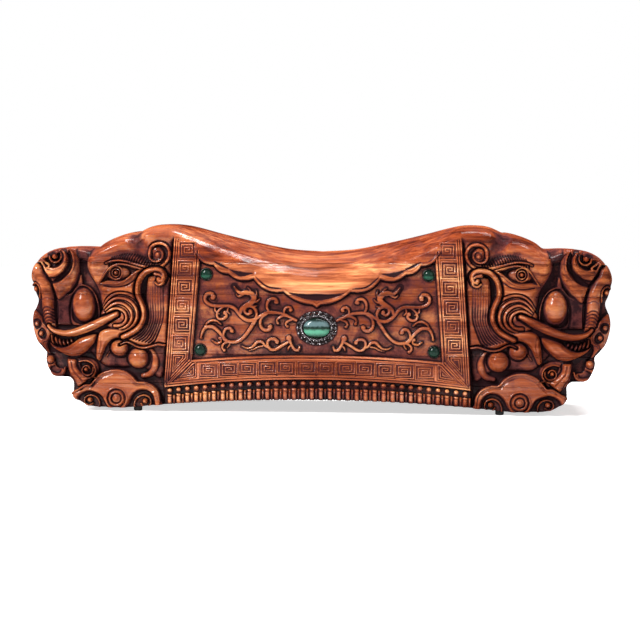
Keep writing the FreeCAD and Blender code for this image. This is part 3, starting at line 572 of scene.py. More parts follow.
# beds of the two keys in the frame's lower corner, darkened with painted shade
CORNER_BEDS = [
    [(107.2, 24), (90.6, 26.2), (90.6, 38.4), (94.6, 37)],
    [(111.2, 26.4), (110.2, 45.4), (98, 45.4), (98.2, 40.4)],
]
SEAT_CENTRE = (0, 64.5)
CORNER_SEATS = [(83.8, 104.5), (88.2, 47.3)]

# the vine and the bird, each shoot with its widths and crowns along it
VINE = [
    ([(14, 69.5), (19.9, 72.5), (25, 75), (31, 75.9), (37.5, 75.8), (43.2, 72.8), (47.6, 70.3), (52.6, 70.1),
      (57.3, 73.2), (61.4, 78.2), (66, 80.6), (73, 80.6), (79.4, 81.1), (83.6, 83.6), (84.6, 86.8),
      (82.8, 89.6), (79.6, 89.8), (78, 87.8)], (2.4, 2.6, 3, 2.8, 2.6, 3.2), (2.6, 1.6, 1.8, 2)),
    ([(46.4, 69.8), (49.5, 64.8), (53, 59.6), (57, 55.6), (61, 53.7), (65.4, 53.6), (69.4, 55.2),
      (73.4, 60.6), (77.6, 64.2), (81.4, 65), (84.8, 63.6), (86.7, 60), (87.5, 56.2)],
     (3.2, 2.8, 2.6, 2.8, 3, 1.6), (1.8, 2, 1.8, 2.6)),
    ([(35.5, 75.8), (37.4, 79.6), (37, 83.6), (34.6, 86.2), (31.2, 86), (29.8, 83.8)],
     (1.8, 2.6, 2.8), 2),
    ([(24.4, 74.6), (24.4, 77.8), (23, 79.8), (20.4, 79.9), (19, 78.2)], (1.6, 2.2, 2.4), 2.4),
    ([(20.5, 72.8), (25, 73.6), (28.6, 72), (30, 69.8), (29, 67.4)], (1.6, 2.4, 1), 2.6),
    ([(37.4, 75), (41, 72.4), (42.6, 68.8), (41.8, 64.8), (39, 62.7), (35.8, 63.3), (34.6, 65.6)],
     (1.8, 2.6, 3), 2.2),
    ([(18.2, 70.8), (22, 69.4), (23.2, 67.2), (22, 65.2)], (1.6, 2.2, 1.4), 2.8),
    ([(20.8, 57.2), (19.6, 53.6), (18, 50.4), (16.2, 48.2), (13.8, 48), (12.8, 50.2)],
     (3.6, 2.4, 3, 2), (2.2, 2.6)),
    ([(18.6, 52), (21, 49.6), (21.6, 47.2)], (1.4, 2, 0.6), 3.2),
    ([(21.4, 53.8), (26.4, 50.9), (31, 48.2), (34.4, 48.2), (36.8, 51), (36.8, 54.2), (34.6, 56),
      (31.4, 55.8), (29.4, 54)], (2.2, 2.8, 2.4, 2.8), (2.6, 2)),
    ([(35.6, 49.6), (38.6, 50.9), (41, 53.6), (44.4, 53.9), (47, 51.4), (49.6, 49.4), (53, 49),
      (56.6, 50.6)], (2.2, 2.6, 0.8), (2.2, 3.4)),
    ([(40.6, 50.6), (44, 50), (47.4, 48.2), (51, 47.2)], (1.6, 1.4, 0.6), 3.6),
    ([(66.4, 53.8), (70, 57), (70.2, 60.4), (68.4, 63.4), (65.4, 63.8), (63.6, 61.6)],
     (1.8, 2.4, 2.8), 2.2),
    ([(79, 54.6), (75.6, 52.5), (72.2, 54), (72.8, 57)], (1.2, 2.2, 1.6), 2.8),
    ([(67.4, 53.8), (70.6, 51.6), (71.2, 49), (69.6, 46.8)], (2.2, 2, 1.8), 2.4),
    ([(64.6, 54), (66.2, 50.8), (67.6, 49.2)], (1.6, 1.4, 1), 3),
    ([(72.4, 66.8), (75.6, 69.4), (79.6, 69.6), (83, 67.6), (84, 64.6)], (1.4, 2.2, 1.6), 3),
    ([(70, 80.4), (73.6, 77.8), (75.4, 74.4), (74.2, 71.2), (70.6, 71), (68.2, 73.4), (69.2, 76)],
     (1.8, 2.4, 2.6), 2.4),
    ([(77, 80.6), (76.6, 77), (73.6, 74.6)], (1.6, 2, 1.2), 3),
    ([(66.6, 79.8), (67.4, 76.8), (65.6, 74.6)], (1.6, 1.8, 1), 3.2),
    # bird's head and neck that rises from the vine
    ([(58, 75.4), (56.2, 78.8), (52.6, 81.4), (49, 83.8), (47.4, 87), (49.4, 90), (53.2, 91),
      (57.2, 90.4), (60.2, 92.4), (62.4, 95.4)], (3, 3.8, 4.2, 4.6, 4.2, 2.8, 1.2), (2, 1.6, 1.4, 2.4)),
    ([(55.8, 89.2), (59, 88), (60.8, 89.6)], (2, 1.8, 1), 2.6),
    ([(49.4, 90), (50.2, 92.8), (52.4, 94.6)], (2, 1.6, 0.8), 2.8),
    ([(46.8, 87), (45.4, 89.8), (45.8, 92.6)], (2.2, 1.6, 0.8), 2.8),
    ([(48.2, 83.6), (45.2, 84.2), (43, 86.2)], (2, 1.6, 0.8), 3),
    ([(50.8, 81.6), (47.6, 80.4), (45, 81)], (2, 1.6, 0.8), 3),
    ([(46.6, 70.6), (45.2, 74.6), (46.6, 78.6), (50, 80.8), (53.6, 79.8), (54.4, 76.6), (52, 74.6),
      (49.4, 75.8)], (2, 2.6, 2.6, 2.2), (2.2, 2.4)),
]

# rounded ends of the vine's curls, as (u, z, size)
VINE_KNOBS = [
    (78.6, 87, 2.1), (30.6, 84, 1.9), (19.6, 78, 1.7), (35.2, 65, 2.1), (20.8, 56.8, 2.5),
    (29.8, 54, 1.9), (64.2, 62, 1.9), (73.2, 56.4, 1.5), (69.2, 75.4, 1.9), (50, 76.6, 1.8),
    (29.2, 68, 1.2), (22, 65.6, 1.2), (69.6, 47.2, 1.4), (87.4, 56.6, 1.2), (84, 65.2, 1.3),
]


def arch_lift(u, rise, half_span):
    """How far an arched line stands above its ends."""
    return rise * np.maximum(0.0, 1 - (u / half_span) ** 2)


def side_line(top, foot, z):
    """Distance from the middle of a slanting side of the cloth at a height."""
    return foot[0] + (top[0] - foot[0]) * (z - foot[1]) / (top[1] - foot[1])


def side_border(top, foot, shift, heights):
    """Line through some heights beside a slanting side of the cloth."""
    return [(side_line(top, foot, z) + shift, z) for z in heights]


def foot_border(foot, rise, lift, reach, count):
    """Line above an arched lower edge of the cloth, from the middle out."""
    return [(u, foot[1] + lift + float(arch_lift(u, rise, foot[0]))) for u in np.linspace(0, reach, count)]


def fret_places():
    """Middle and half sizes of each fret key on the right half: up the side, then out along the foot."""
    places = []
    for number in range(FRET_KEYS):
        z = SIDE_KEY_START + SIDE_KEY_PITCH * number
        middle = (side_line(FRAME_TOP, FRAME_FOOT, z) + side_line(PANEL_TOP, PANEL_FOOT, z)) / 2 - 0.5
        places.append(((middle, z), (FRET_SIDE - SIDE_KEY_SHRINK * number) / 2, (FRET_SIDE - 0.2) / 2))
    for number in range(FRET_KEYS):
        u = FOOT_KEY_START[0] + FOOT_KEY_PITCH * number
        z = FOOT_KEY_START[1] + float(arch_lift(u, FOOT_KEY_RISE, FRAME_FOOT[0]))
        places.append(((u, z), *FOOT_KEY_HALF))
    return places


def border_quirks():
    """Lines between the raised borders of the frame, to be darkened with painted shade, as a line and its
    width.
    """
    quirks = [(side_border(FRAME_TOP, FRAME_FOOT, -inset, (131, 19.8 + inset)), 1.0) for inset in (1.8, 3.5)]
    quirks.append((side_border(PANEL_TOP, PANEL_FOOT, 1.7, (121.5, 37.5)), 1.3))
    for foot, rise, lift in ((FRAME_FOOT, FRINGE_RISE, 1.8), (FRAME_FOOT, FRINGE_RISE, 3.4),
                             (PANEL_FOOT, CLOTH_RISE, -1.6)):
        quirks.append((foot_border(foot, rise, lift, foot[0] - lift, 12), 1.0))
    for shift in (-0.9, 0.75, 2.3):
        quirks.append(([(113.4 - shift, 21.0 + 0.1 * shift), (96.6 - 0.8 * shift, 39.0 - shift)], 1.0))
    return quirks


def scallop_line():
    """Scalloped edge as one line through its lobes, from the outside in."""
    line = []
    for (u0, z0), (u1, z1), bow in zip(SCALLOPS, SCALLOPS[1:], SCALLOP_SAGS):
        reach = math.hypot(u1 - u0, z1 - z0)
        across = ((z1 - z0) / reach, -(u1 - u0) / reach)
        for step in range(SCALLOP_STEPS):
            share = step / SCALLOP_STEPS
            sag = 4 * bow * reach * share * (1 - share)
            line.append((u0 + (u1 - u0) * share - across[0] * sag, z0 + (z1 - z0) * share - across[1] * sag))
    return np.array(line + [SCALLOPS[-1]])


def ease(value):
    """Smooth step from 0 to 1."""
    value = np.clip(value, 0, 1)
    return value * value * (3 - 2 * value)


def darken_map_over(area, shade):
    """Darkens a part of the darkening map, where the new value is darker than what is there."""
    stain_and_shade[area] = np.where(shade > 0, np.maximum(stain_and_shade[area], shade), stain_and_shade[area])


def darken(points, width, amount):
    """Darkens the map along a line; its width may change along it."""
    area, away, along = beside(points, np.max(width), smooth=False)
    darken_map_over(area, amount * np.clip((spread(width, along) / 2 - away) / 0.5 + 0.5, 0, 1))


def darken_area(points, amount, sink=0.0):
    """Darkens a closed outline of the map, and sinks it a little."""
    area, covered, _ = within(points, STEP, smooth=False)
    darken_map_over(area, amount * covered)
    drop[area] += sink * covered


def darken_square(centre, half_u, half_z, amount, sink):
    """Darkens a fret key on the map, and sinks its bed a little."""
    area = window(np.array([centre], float), max(half_u, half_z) + 2)
    away = np.maximum(np.abs(U[area] - centre[0]) - half_u, np.abs(Z[area] - centre[1]) - half_z)
    share = np.clip(0.5 - away / 0.8, 0, 1)
    darken_map_over(area, amount * share)
    drop[area] += sink * share


def lay_cloth(edge):
    """Frame, sunk panel and the fringe's bed, with their staining and painted shade; gives how far inside the
    panel a place is.
    """
    frame_foot = FRAME_FOOT[1] + arch_lift(U, FRINGE_RISE, FRAME_FOOT[0])
    panel_foot = PANEL_FOOT[1] + arch_lift(U, CLOTH_RISE, PANEL_FOOT[0])
    past = U - side_line(FRAME_TOP, FRAME_FOOT, Z)
    # the frame's outer edge, which fades into the smooth crest above the fret
    beyond = drop + 1.2 * (1 - np.clip(past / 2.6, 0, 1)) ** 2
    on_crest = ease((Z - CREST_FOOT[1]) / 9) * ease((CREST_FOOT[0] - U) / 12)
    beyond = beyond + (FRAME_LEVEL - beyond) * on_crest
    bed = ease((frame_foot - Z) / 0.9 + 0.5)
    cloth = FRAME_LEVEL + (FRINGE_LEVEL - FRAME_LEVEL) * bed
    drop[:] = cloth + (beyond - cloth) * ease(past / 1.2 + 0.5)
    # the panel under the scalloped edge, a little deeper beside its borders
    limit = np.interp(us, edge[::-1, 0], edge[::-1, 1])[None, :]
    depth = np.minimum.reduce([limit - Z, Z - panel_foot, side_line(PANEL_TOP, PANEL_FOOT, Z) - U])
    sink = ease(depth / 1.1)
    drop[:] += (PANEL_LEVEL - drop) * sink
    drop[:] += 0.5 * np.exp(-np.maximum(depth, 0) / 1.6) * sink
    # the lower saddle and the frame are rubbed pale, and the foot border most; the fringe's bed behind the
    # rods is dark with staining and painted shade
    # painted shade darkens the panel beside its borders
    panel_stain_and_shade = 0.18 * sink + 0.16 * np.exp(-np.maximum(depth, 0) / 5.0)
    rubbed = 0.36 * ease((120 - Z) / 14) + 0.22 * ease((46 - Z) / 6)
    frame_stain_and_shade = 1.15 * bed - rubbed
    stain_and_shade[:] = np.where(depth > 0, panel_stain_and_shade, np.where(past < 0, frame_stain_and_shade, stain_and_shade))
    return depth


def carve_scallops(edge):
    """Crescent facets above the lobes of the scalloped edge, its moulding and the quirk below it; the
    crescents and the quirk are darkened with painted shade.
    """
    for line, width in CRESCENTS:
        groove(line, 1.4 * max(width), (0.2, 1.0, 1.2))
        # painted shade in the crescent facet
        darken(curve_through(line), width, 0.8)
    ridge(edge, 2.5, 0.6, foot=4.4, smooth=False)
    below = edge - (0.0, 2.0)
    groove(below, 1.5, 1.2, smooth=False)
    # painted shadow line under the moulding
    darken(below, 1.2, 0.9)


def carve_vine(depth):
    """Vine and bird on the panel: painted shade laid all round them, cleared where they stand high."""
    for points, width, crown in VINE:
        # painted shade round the foot of each shoot
        darken(curve_through(points), np.max(width) + 1.5, 0.55)
        ridge(points, np.array(width) * 1.08, np.array(crown) - 0.4, foot=PANEL_LEVEL + 0.2)
    for u, z, size in VINE_KNOBS:
        boss((u, z), size, size, 1.7, foot=PANEL_LEVEL)
    stain_and_shade[(depth > 0) & (drop < PANEL_LEVEL - 1.2)] = 0.0
    boss(BIRD_EYE, 0.9, 0.9, 0.9, foot=3.0)


def carve_fret_bed():
    """Beds of the fret keys and the lines between the borders, sunk and darkened with painted shade."""
    for centre, half_u, half_z in fret_places():
        darken_square(centre, half_u + 0.4, half_z + 0.4, 0.3, 0.45)
    for corner_bed in CORNER_BEDS:
        darken_area(corner_bed, 0.34, 0.45)
    for line, width in border_quirks():
        darken(line, width, 0.5)
        groove(line, 1.4, 0.35, smooth=False)


def flatten_seat(away, flat, stained_and_shaded, fade, shade):
    """Levels the panel under a stone's mount, with a ring of painted shade round it."""
    drop[away < flat] = PANEL_LEVEL
    stain_and_shade[:] = np.where(away < stained_and_shaded, np.maximum(stain_and_shade, shade * ease((stained_and_shaded - away) / fade)), stain_and_shade)


def carve_cloth():
    """Whole cloth: frame, panel, scalloped edge, vine, fret beds and the stones' seats."""
    edge = scallop_line()
    depth = lay_cloth(edge)
    carve_scallops(edge)
    carve_vine(depth)
    carve_fret_bed()
    for u, z in CORNER_SEATS:
        flatten_seat(np.hypot(U - u, Z - z), 5.2, 6.0, 1.2, 0.55)
    centre_half_u, centre_half_z = CENTRE_SEAT_HALF
    oval = np.hypot((U - SEAT_CENTRE[0]) / centre_half_u, (Z - SEAT_CENTRE[1]) / centre_half_z)
    flatten_seat(oval, 1.0, 1.1, 0.125, 0.6)


# -----------------------------------------------------------------------------
# Boards: one mesh each, its two faces taken from the carved map and bent over the rolled block
# -----------------------------------------------------------------------------
HALF_LENGTH = 220.0
HALF_DEPTH = 62.5
LEAST_HALF_DEPTH = 2.0
END_TAPER = 26
SEAM_GAP = 0.04
GRAIN_STEP = 0.5
FIXED_COLUMNS = 150.0
END_COLUMNS = 145
FLANK_COLUMNS = 35
FLANK_BULGE = 1.4
FLANK_HOLLOW = 0.02
EDGE_ROUNDING = 3.0
SADDLE_STEP = 0.64
SADDLE_ROWS = 70
SADDLE_ARC_STEPS = 240
SADDLE_WALL_STEPS = 39
SEAMS = {
    "base_board": (3.0, 21.5),
    "lower_board": (21.5, 44.0),
    "lower_middle_board": (44.0, 66.5),
    "upper_middle_board": (66.5, 89.0),
    "shoulder_board": (89.0, 113.0),
}
SADDLE_SEAM = 113.0
BLOCK_TOP = 143.0
FOOT_TOP = 3.0
TOP_LINE = [(0, 122.5), (25, 124.2), (51, 129.2), (79, 135.8), (98, 140.8), (110, 143), (122, 143),
            (129, 141.8), (134.4, 139.7), (138.6, 137.8), (142, 137.7), (148, 136.4), (154, 134.5),
            (160, 132.1), (165, 129.4), (169.4, 125.9), (174, 125.4), (184, 125.6), (197.5, 124.2),
            (212, 120), (224, 111)]
END_LINE = [(200.0, 124.0), (209.0, 120.0), (215.5, 113.5), (219.2, 106.0), (220.0, 99.5), (217.7, 90.0),
            (215.4, 83.5), (218.4, 75.0), (219.3, 67.0), (216.6, 55.5), (212.3, 49.3), (207.6, 43.6),
            (207.8, 38.0), (204.5, 30.0), (200.6, 26.2), (192.0, 25.6), (187.6, 22.0), (187.2, 13.0),
            (183.5, 8.4), (176.5, 4.3), (170.0, 3.0)]


def smoothed(points):
    """Smooth line with its points in rising order of the second value."""
    line = curve_through(points, per_span=6)
    return line[np.argsort(line[:, 1])]


END_CURVE = smoothed(END_LINE)
TOP_CURVE = curve_through(TOP_LINE)


def end_at(z):
    """How far out the block's end reaches at a height."""
    return np.interp(z, END_CURVE[:, 1], END_CURVE[:, 0])


def top_at(u):
    """Height of the block's top at a distance from the middle."""
    return np.interp(u, TOP_CURVE[:, 0], TOP_CURVE[:, 1])


def nearness(u):
    """1 in the middle of the block, falling to 0 at the cloth's upper corners."""
    return np.maximum(0.0, 1 - (u / FRAME_TOP[0]) ** 2)


def roll_at(u):
    """Radius and bluntness of the rolled top at a distance from the middle."""
    near = nearness(u)
    return 11 + 25 * near - 7 * ease((u - 172) / 14), 3 - near + 2.5 * ease((u - 166) / 14)


def thinner_at(u):
    """How much thinner each half of the block is along the cloth."""
    return 2.5 * np.minimum(1, 2 * nearness(u))


def half_depth_at(u):
    """Half depth of the block, a little less along the cloth and less again towards its ends."""
    past = np.maximum(0.0, u - (HALF_LENGTH - END_TAPER)) / END_TAPER
    return HALF_DEPTH - thinner_at(u) - 8 * past ** 2


def face_at(u, z):
    """Half depth of the uncarved block at a place on its face, with the rolled top."""
    roll, power = roll_at(u)
    up = np.clip((z - (top_at(u) - roll)) / roll, 0, 1)
    return half_depth_at(u) * (1 - up ** power) ** (1 / power)


def blurred(level, reach):
    """Mean of a map over a square window."""
    count = int(reach / STEP)
    for axis in (0, 1):
        pad = [(count + 1, count) if side == axis else (0, 0) for side in (0, 1)]
        total = np.cumsum(np.pad(level, pad, mode="edge"), axis=axis)
        size = level.shape[axis]
        first = np.take(total, range(size), axis=axis)
        last = np.take(total, range(2 * count + 1, 2 * count + 1 + size), axis=axis)
        level = (last - first) / (2 * count + 1)
    return level


def sample(level, u, z):
    """Value of a map between its points."""
    i = np.clip(u / STEP, 0, level.shape[1] - 1.001)
    j = np.clip(z / STEP, 0, level.shape[0] - 1.001)
    i0, j0 = i.astype(int), j.astype(int)
    di, dj = i - i0, j - j0
    low = level[j0, i0] * (1 - di) + level[j0, i0 + 1] * di
    high = level[j0 + 1, i0] * (1 - di) + level[j0 + 1, i0 + 1] * di
    return low * (1 - dj) + high * dj


def carved_depth(u, z):
    """How deep the carving goes in the block at a place, eased near the rounded ends."""
    eased = (GROUND - 0.5 * (HALF_DEPTH - half_depth_at(u))) / GROUND
    rounding = np.clip(EDGE_ROUNDING - (end_at(z) - u), 0, EDGE_ROUNDING)
    edge = EDGE_ROUNDING - np.sqrt(np.maximum(0, EDGE_ROUNDING ** 2 - rounding ** 2))
    return np.maximum(0.0, sample(drop, u, z) - thinner_at(u)) * np.clip(eased, 0.3, 1) + edge


def plain_mesh(name, points, faces, flat, shade_and_grime_values):
    """Mesh object from arrays in millimetres, with each point's painted shade, painted highlight and staining
    as its hollow attribute.
    """
    mesh = bpy.data.meshes.new(name)
    mesh.vertices.add(len(points))
    mesh.vertices.foreach_set("co", (points / 1000).astype(np.float32).ravel())
    corners = np.concatenate([group.ravel() for group in faces])
    sides = np.concatenate([np.full(len(group), group.shape[1]) for group in faces])
    mesh.loops.add(len(corners))
    mesh.loops.foreach_set("vertex_index", corners.astype(np.int32))
    mesh.polygons.add(len(sides))
    mesh.polygons.foreach_set("loop_start", (np.cumsum(sides) - sides).astype(np.int32))
    mesh.update(calc_edges=True)
    mesh.polygons.foreach_set("use_smooth", ~np.concatenate(flat))
    layer = mesh.attributes.new("hollow", "FLOAT", "POINT")
    layer.data.foreach_set("value", shade_and_grime_values.astype(np.float32))
    return placed(name, mesh)


def both_ways(level, sign=1):
    """Row by row values over the right half, carried to the left half too."""
    return np.hstack([sign * level[:, :0:-1], level])


def strip_faces(ids):
    """Quads between neighbouring rows and columns of a grid of point numbers."""
    return np.stack([ids[:-1, :-1], ids[:-1, 1:], ids[1:, 1:], ids[1:, :-1]], -1).reshape(-1, 4)


def board(name, low, high):
    """Board between two seams: carved front and back, rounded ends and flat seams."""
    rows = int(round((high - low) / GRAIN_STEP)) + 1
    z_line = np.linspace(low + SEAM_GAP, high - SEAM_GAP, rows)
    fixed = np.arange(0, FIXED_COLUMNS + 0.01, GRAIN_STEP)
    share = np.linspace(0, 1, END_COLUMNS + 1)[1:]
    reach = end_at(z_line)[:, None] - FIXED_COLUMNS
    u = np.hstack([np.repeat(fixed[None, :], rows, 0), FIXED_COLUMNS + reach * share[None, :]])
    z = np.repeat(z_line[:, None], u.shape[1], 1)
    if low < FOOT_TOP + 1:
        foot = FOOT_TOP + arch_lift(u, ARCH_RISE, ARCH_HALF_SPAN)
        z = foot + (z - z_line[0]) * (z_line[-1] - foot) / (z_line[-1] - z_line[0])
    out = np.maximum(face_at(u, z) - carved_depth(u, z), LEAST_HALF_DEPTH)
    u, z, out, shade_and_grime_here = both_ways(u, -1), both_ways(z), both_ways(out), both_ways(sample(shade_and_grime, u, z))
    columns, size = u.shape[1], u.size
    points = [np.stack([u, side * out, z], -1).reshape(-1, 3) for side in (-1, 1)]
    hollows = [shade_and_grime_here.ravel(), shade_and_grime_here.ravel()]
    front = np.arange(size).reshape(rows, columns)
    faces = [strip_faces(front), strip_faces(front + size)[:, ::-1]]
    total, rims = 2 * size, []
    shares = np.linspace(-1, 1, FLANK_COLUMNS + 2)[1:-1]
    for column, way in ((0, -1), (columns - 1, 1)):
        edge_u, edge_out, edge_z = u[:, column:column + 1], out[:, column:column + 1], z[:, column:column + 1]
        flank = np.stack(np.broadcast_arrays(edge_u + way * FLANK_BULGE * (1 - shares ** 2) ** 0.7,
                                             edge_out * shares, edge_z), -1)
        points.append(flank.reshape(-1, 3))
        hollows.append(np.full(flank[..., 0].size, FLANK_HOLLOW))
        inner = total + np.arange(flank[..., 0].size).reshape(rows, -1)
        ids = np.hstack([front[:, column:column + 1], inner, front[:, column:column + 1] + size])
        total += inner.size
        faces.append(strip_faces(ids)[:, ::way])
        rims.append((ids, way))
    flat = [np.zeros(len(group), bool) for group in faces]
    for row, way in ((0, -1), (rows - 1, 1)):
        faces.append(strip_faces(np.stack([front[row], front[row] + size]))[:, ::way])
        flat.append(np.ones(len(faces[-1]), bool))
        for ids, side in rims:
            line = ids[row]
            fan = np.stack([np.full(len(line) - 2, line[0]), line[1:-1], line[2:]], -1)
            faces.append(fan[:, ::way * side])
            flat.append(np.ones(len(fan), bool))
    return plain_mesh(name, np.vstack(points), faces, flat, np.concatenate(hollows))


def saddle_section(u, low):
    """Section of the top board at each distance: evenly spaced (out, z) points from its seam to its top."""
    end_top = np.where(u < 198, 200.0, np.interp(u, *END_CURVE[END_CURVE[:, 1] > 112][::-1].T))
    top = np.minimum(top_at(u), end_top)
    roll, power = roll_at(u)
    start = np.maximum(low + SEAM_GAP, top - roll)
    up = np.clip((start - (top - roll)) / roll, 0, 1)
    angle = np.arccos(up ** (power / 2)) * (1 - np.linspace(0, 1, SADDLE_ARC_STEPS)[:, None])
    arc = np.stack([half_depth_at(u) * np.sin(angle) ** (2 / power),
                    top - roll + roll * np.cos(angle) ** (2 / power)], -1)
    straight = np.linspace(0, 1, SADDLE_WALL_STEPS + 1)[:-1, None]
    wall_z = low + SEAM_GAP + (start - low - SEAM_GAP) * straight
    wall = np.stack([np.repeat(arc[:1, :, 0], SADDLE_WALL_STEPS, 0), wall_z], -1)
    section = np.concatenate([wall, arc], 0)
    # more rows where the face is upright and carved than on the smooth top
    legs = np.diff(section, axis=0)
    lengths = np.hypot(legs[..., 0], legs[..., 1])
    facing = np.clip(np.abs(legs[..., 1]) / np.maximum(lengths, TINY), 0, 1)
    weight = np.concatenate([np.zeros((1, u.shape[1])), np.cumsum(lengths * (0.3 + 0.7 * facing), 0)], 0)
    even = np.empty((SADDLE_ROWS, u.shape[1], 2))
    for column in range(u.shape[1]):
        place = np.linspace(0, weight[-1, column], SADDLE_ROWS)
        for axis in (0, 1):
            even[:, column, axis] = np.interp(place, weight[:, column], section[:, column, axis])
    return even


def saddle(name, low):
    """Top board: its section runs from the front seam over the rolled top to the back seam."""
    last = END_CURVE[END_CURVE[:, 1] > low + 0.5][0, 0]
    u = np.concatenate([np.arange(0, 196, SADDLE_STEP), np.linspace(196, last, 40)])[None, :]
    even = saddle_section(u, low)
    along = np.gradient(even, axis=0)
    normal = np.stack([along[..., 1], -along[..., 0]], -1)
    normal /= np.maximum(np.linalg.norm(normal, axis=-1, keepdims=True), TINY)
    normal[-1] = (0, 1)
    u = np.repeat(u, SADDLE_ROWS, 0)
    depth = carved_depth(u, even[..., 1]) * np.clip(normal[..., 0] * 1.5, 0, 1)
    out = np.maximum(even[..., 0] - depth * normal[..., 0], 0)
    z = np.maximum(even[..., 1] - depth * np.abs(normal[..., 1]), low + SEAM_GAP)
    shade_and_grime_here = sample(shade_and_grime, u, even[..., 1]) * np.clip(normal[..., 0] * 4, 0, 1)
    u, z, out, shade_and_grime_here = both_ways(u, -1), both_ways(z), both_ways(out), both_ways(shade_and_grime_here)
    u, z, shade_and_grime_here = (np.vstack([level, level[-2::-1]]) for level in (u, z, shade_and_grime_here))
    out = np.vstack([-out, out[-2::-1]])
    out[SADDLE_ROWS - 1] = 0
    ids = np.arange(u.size).reshape(u.shape)
    faces = [strip_faces(ids), strip_faces(np.stack([ids[0], ids[-1]]))[:, ::-1]]
    for column, way in ((0, -1), (-1, 1)):
        near, far = ids[:SADDLE_ROWS, column], ids[::-1, column][:SADDLE_ROWS]
        faces.append(np.stack([near[:-2], far[:-2], far[1:-1], near[1:-1]], -1)[:, ::way])
        faces.append(np.array([[near[-2], far[-2], near[-1]]])[:, ::way])
    flat = [np.full(len(group), group is not faces[0]) for group in faces]
    return plain_mesh(name, np.stack([u, out, z], -1).reshape(-1, 3), faces, flat, shade_and_grime_here.ravel())


# -----------------------------------------------------------------------------
# The carving itself, and a map of how hollow each place lies, laid into the wood's colour as painted shade,
# painted highlight on crowns, and staining
# -----------------------------------------------------------------------------
def shade_and_grime_map():
    """How hollow each place lies, as painted shade with some staining: darker beside small and large forms,
    deep in the heads and on steep sides, and lighter on crowns, where it gives painted highlight.
    """
    on_head = ease((U - 104) / 14)
    fine = np.clip(drop - blurred(drop, 1.2), -1, 1)
    broad = np.clip((drop - blurred(drop, 4.0)) / 3.0, -0.3, 1)
    wide = np.clip((drop - blurred(drop, 9.0)) / 4.0, -0.3, 1) * on_head
    deep = np.clip((drop - 3.4) / 6.0, 0, 1) * on_head
    # steep sides darkened as painted shade, where the forms turn from the light
    steep = np.clip((blurred(np.hypot(*np.gradient(drop, STEP)), 0.5) - 0.2) / 1.6, 0, 1)
    return 0.34 * fine + 0.26 * broad + 0.24 * wide + 0.34 * deep + 0.36 * steep + stain_and_shade


carve_head()
carve_cloth()
shade_and_grime = shade_and_grime_map()


# -----------------------------------------------------------------------------
# Geometry Nodes helpers
# -----------------------------------------------------------------------------
def node_tree(name, inputs):
    """Geometry tree with a geometry input, the named number inputs and a geometry output."""
    tree = bpy.data.node_groups.new(name, "GeometryNodeTree")
    tree.interface.new_socket("Geometry", in_out="INPUT", socket_type="NodeSocketGeometry")
    for label, value in inputs.items():
        kind = "NodeSocketInt" if isinstance(value, int) else "NodeSocketFloat"
        socket = tree.interface.new_socket(label, in_out="INPUT", socket_type=kind)
        socket.default_value = value
    tree.interface.new_socket("Geometry", in_out="OUTPUT", socket_type="NodeSocketGeometry")
    return tree, tree.nodes.new("NodeGroupInput"), tree.nodes.new("NodeGroupOutput")


def feed(tree, node, inputs):
    """Feeds a node's inputs with sockets or values, by name or number."""
    for key, value in inputs.items():
        if isinstance(value, bpy.types.NodeSocket):
            tree.links.new(value, node.inputs[key])
        else:
            node.inputs[key].default_value = value


def add(tree, kind, inputs=None, **settings):
    """Adds a node, sets its options and feeds its inputs."""
    node = tree.nodes.new(kind)
    for key, value in settings.items():
        setattr(node, key, value)
    feed(tree, node, inputs or {})
    return node


def settle(piece, tree, sizes=None):
    """Runs a geometry tree on a piece with its sizes set, and keeps the result as a plain mesh."""
    modifier = piece.modifiers.new(tree.name, "NODES")
    modifier.node_group = tree
    for item in tree.interface.items_tree:
        if item.item_type == "SOCKET" and item.in_out == "INPUT" and sizes and item.name in sizes:
            modifier[item.identifier] = sizes[item.name]
    graph = bpy.context.evaluated_depsgraph_get()
    graph.update()
    made = bpy.data.meshes.new_from_object(piece.evaluated_get(graph), depsgraph=graph)
    piece.modifiers.remove(modifier)
    old = piece.data
    piece.data = made
    made.name = piece.name
    bpy.data.meshes.remove(old)
    return piece


def line_piece(name, lines, closed=False):
    """Object that holds lines of points in millimetres as edges; a line of one point is a point."""
    points, edges = [], []
    for line in lines:
        first = len(points)
        points += [(x / 1000, y / 1000, z / 1000) for x, y, z in line]
        edges += [(first + i, first + i + 1) for i in range(len(line) - 1)]
        if closed:
            edges.append((first + len(line) - 1, first))
    mesh = bpy.data.meshes.new(name)
    mesh.from_pydata(points, edges, [])
    return placed(name, mesh)


def painted_side_shade(tree, geometry, low, high):
    """Stores the hollow value as painted light: painted highlight where a piece faces out or up, painted
    shade round its sides.
    """
    normal = add(tree, "GeometryNodeInputNormal")
    parts = add(tree, "ShaderNodeSeparateXYZ", {0: normal.outputs[0]})
    facing = add(tree, "ShaderNodeMath", {0: parts.outputs[1]}, operation="ABSOLUTE")
    lit = add(tree, "ShaderNodeMath", {0: parts.outputs[2], 1: 0.45, 2: facing.outputs[0]},
              operation="MULTIPLY_ADD")
    side_shade = add(tree, "ShaderNodeMapRange", {"Value": lit.outputs[0], "From Min": low, "From Max": high,
                                             "To Min": 1.0, "To Max": -0.5})
    return add(tree, "GeometryNodeStoreNamedAttribute",
               {"Geometry": geometry, "Name": "hollow", "Value": side_shade.outputs[0]}, domain="POINT")


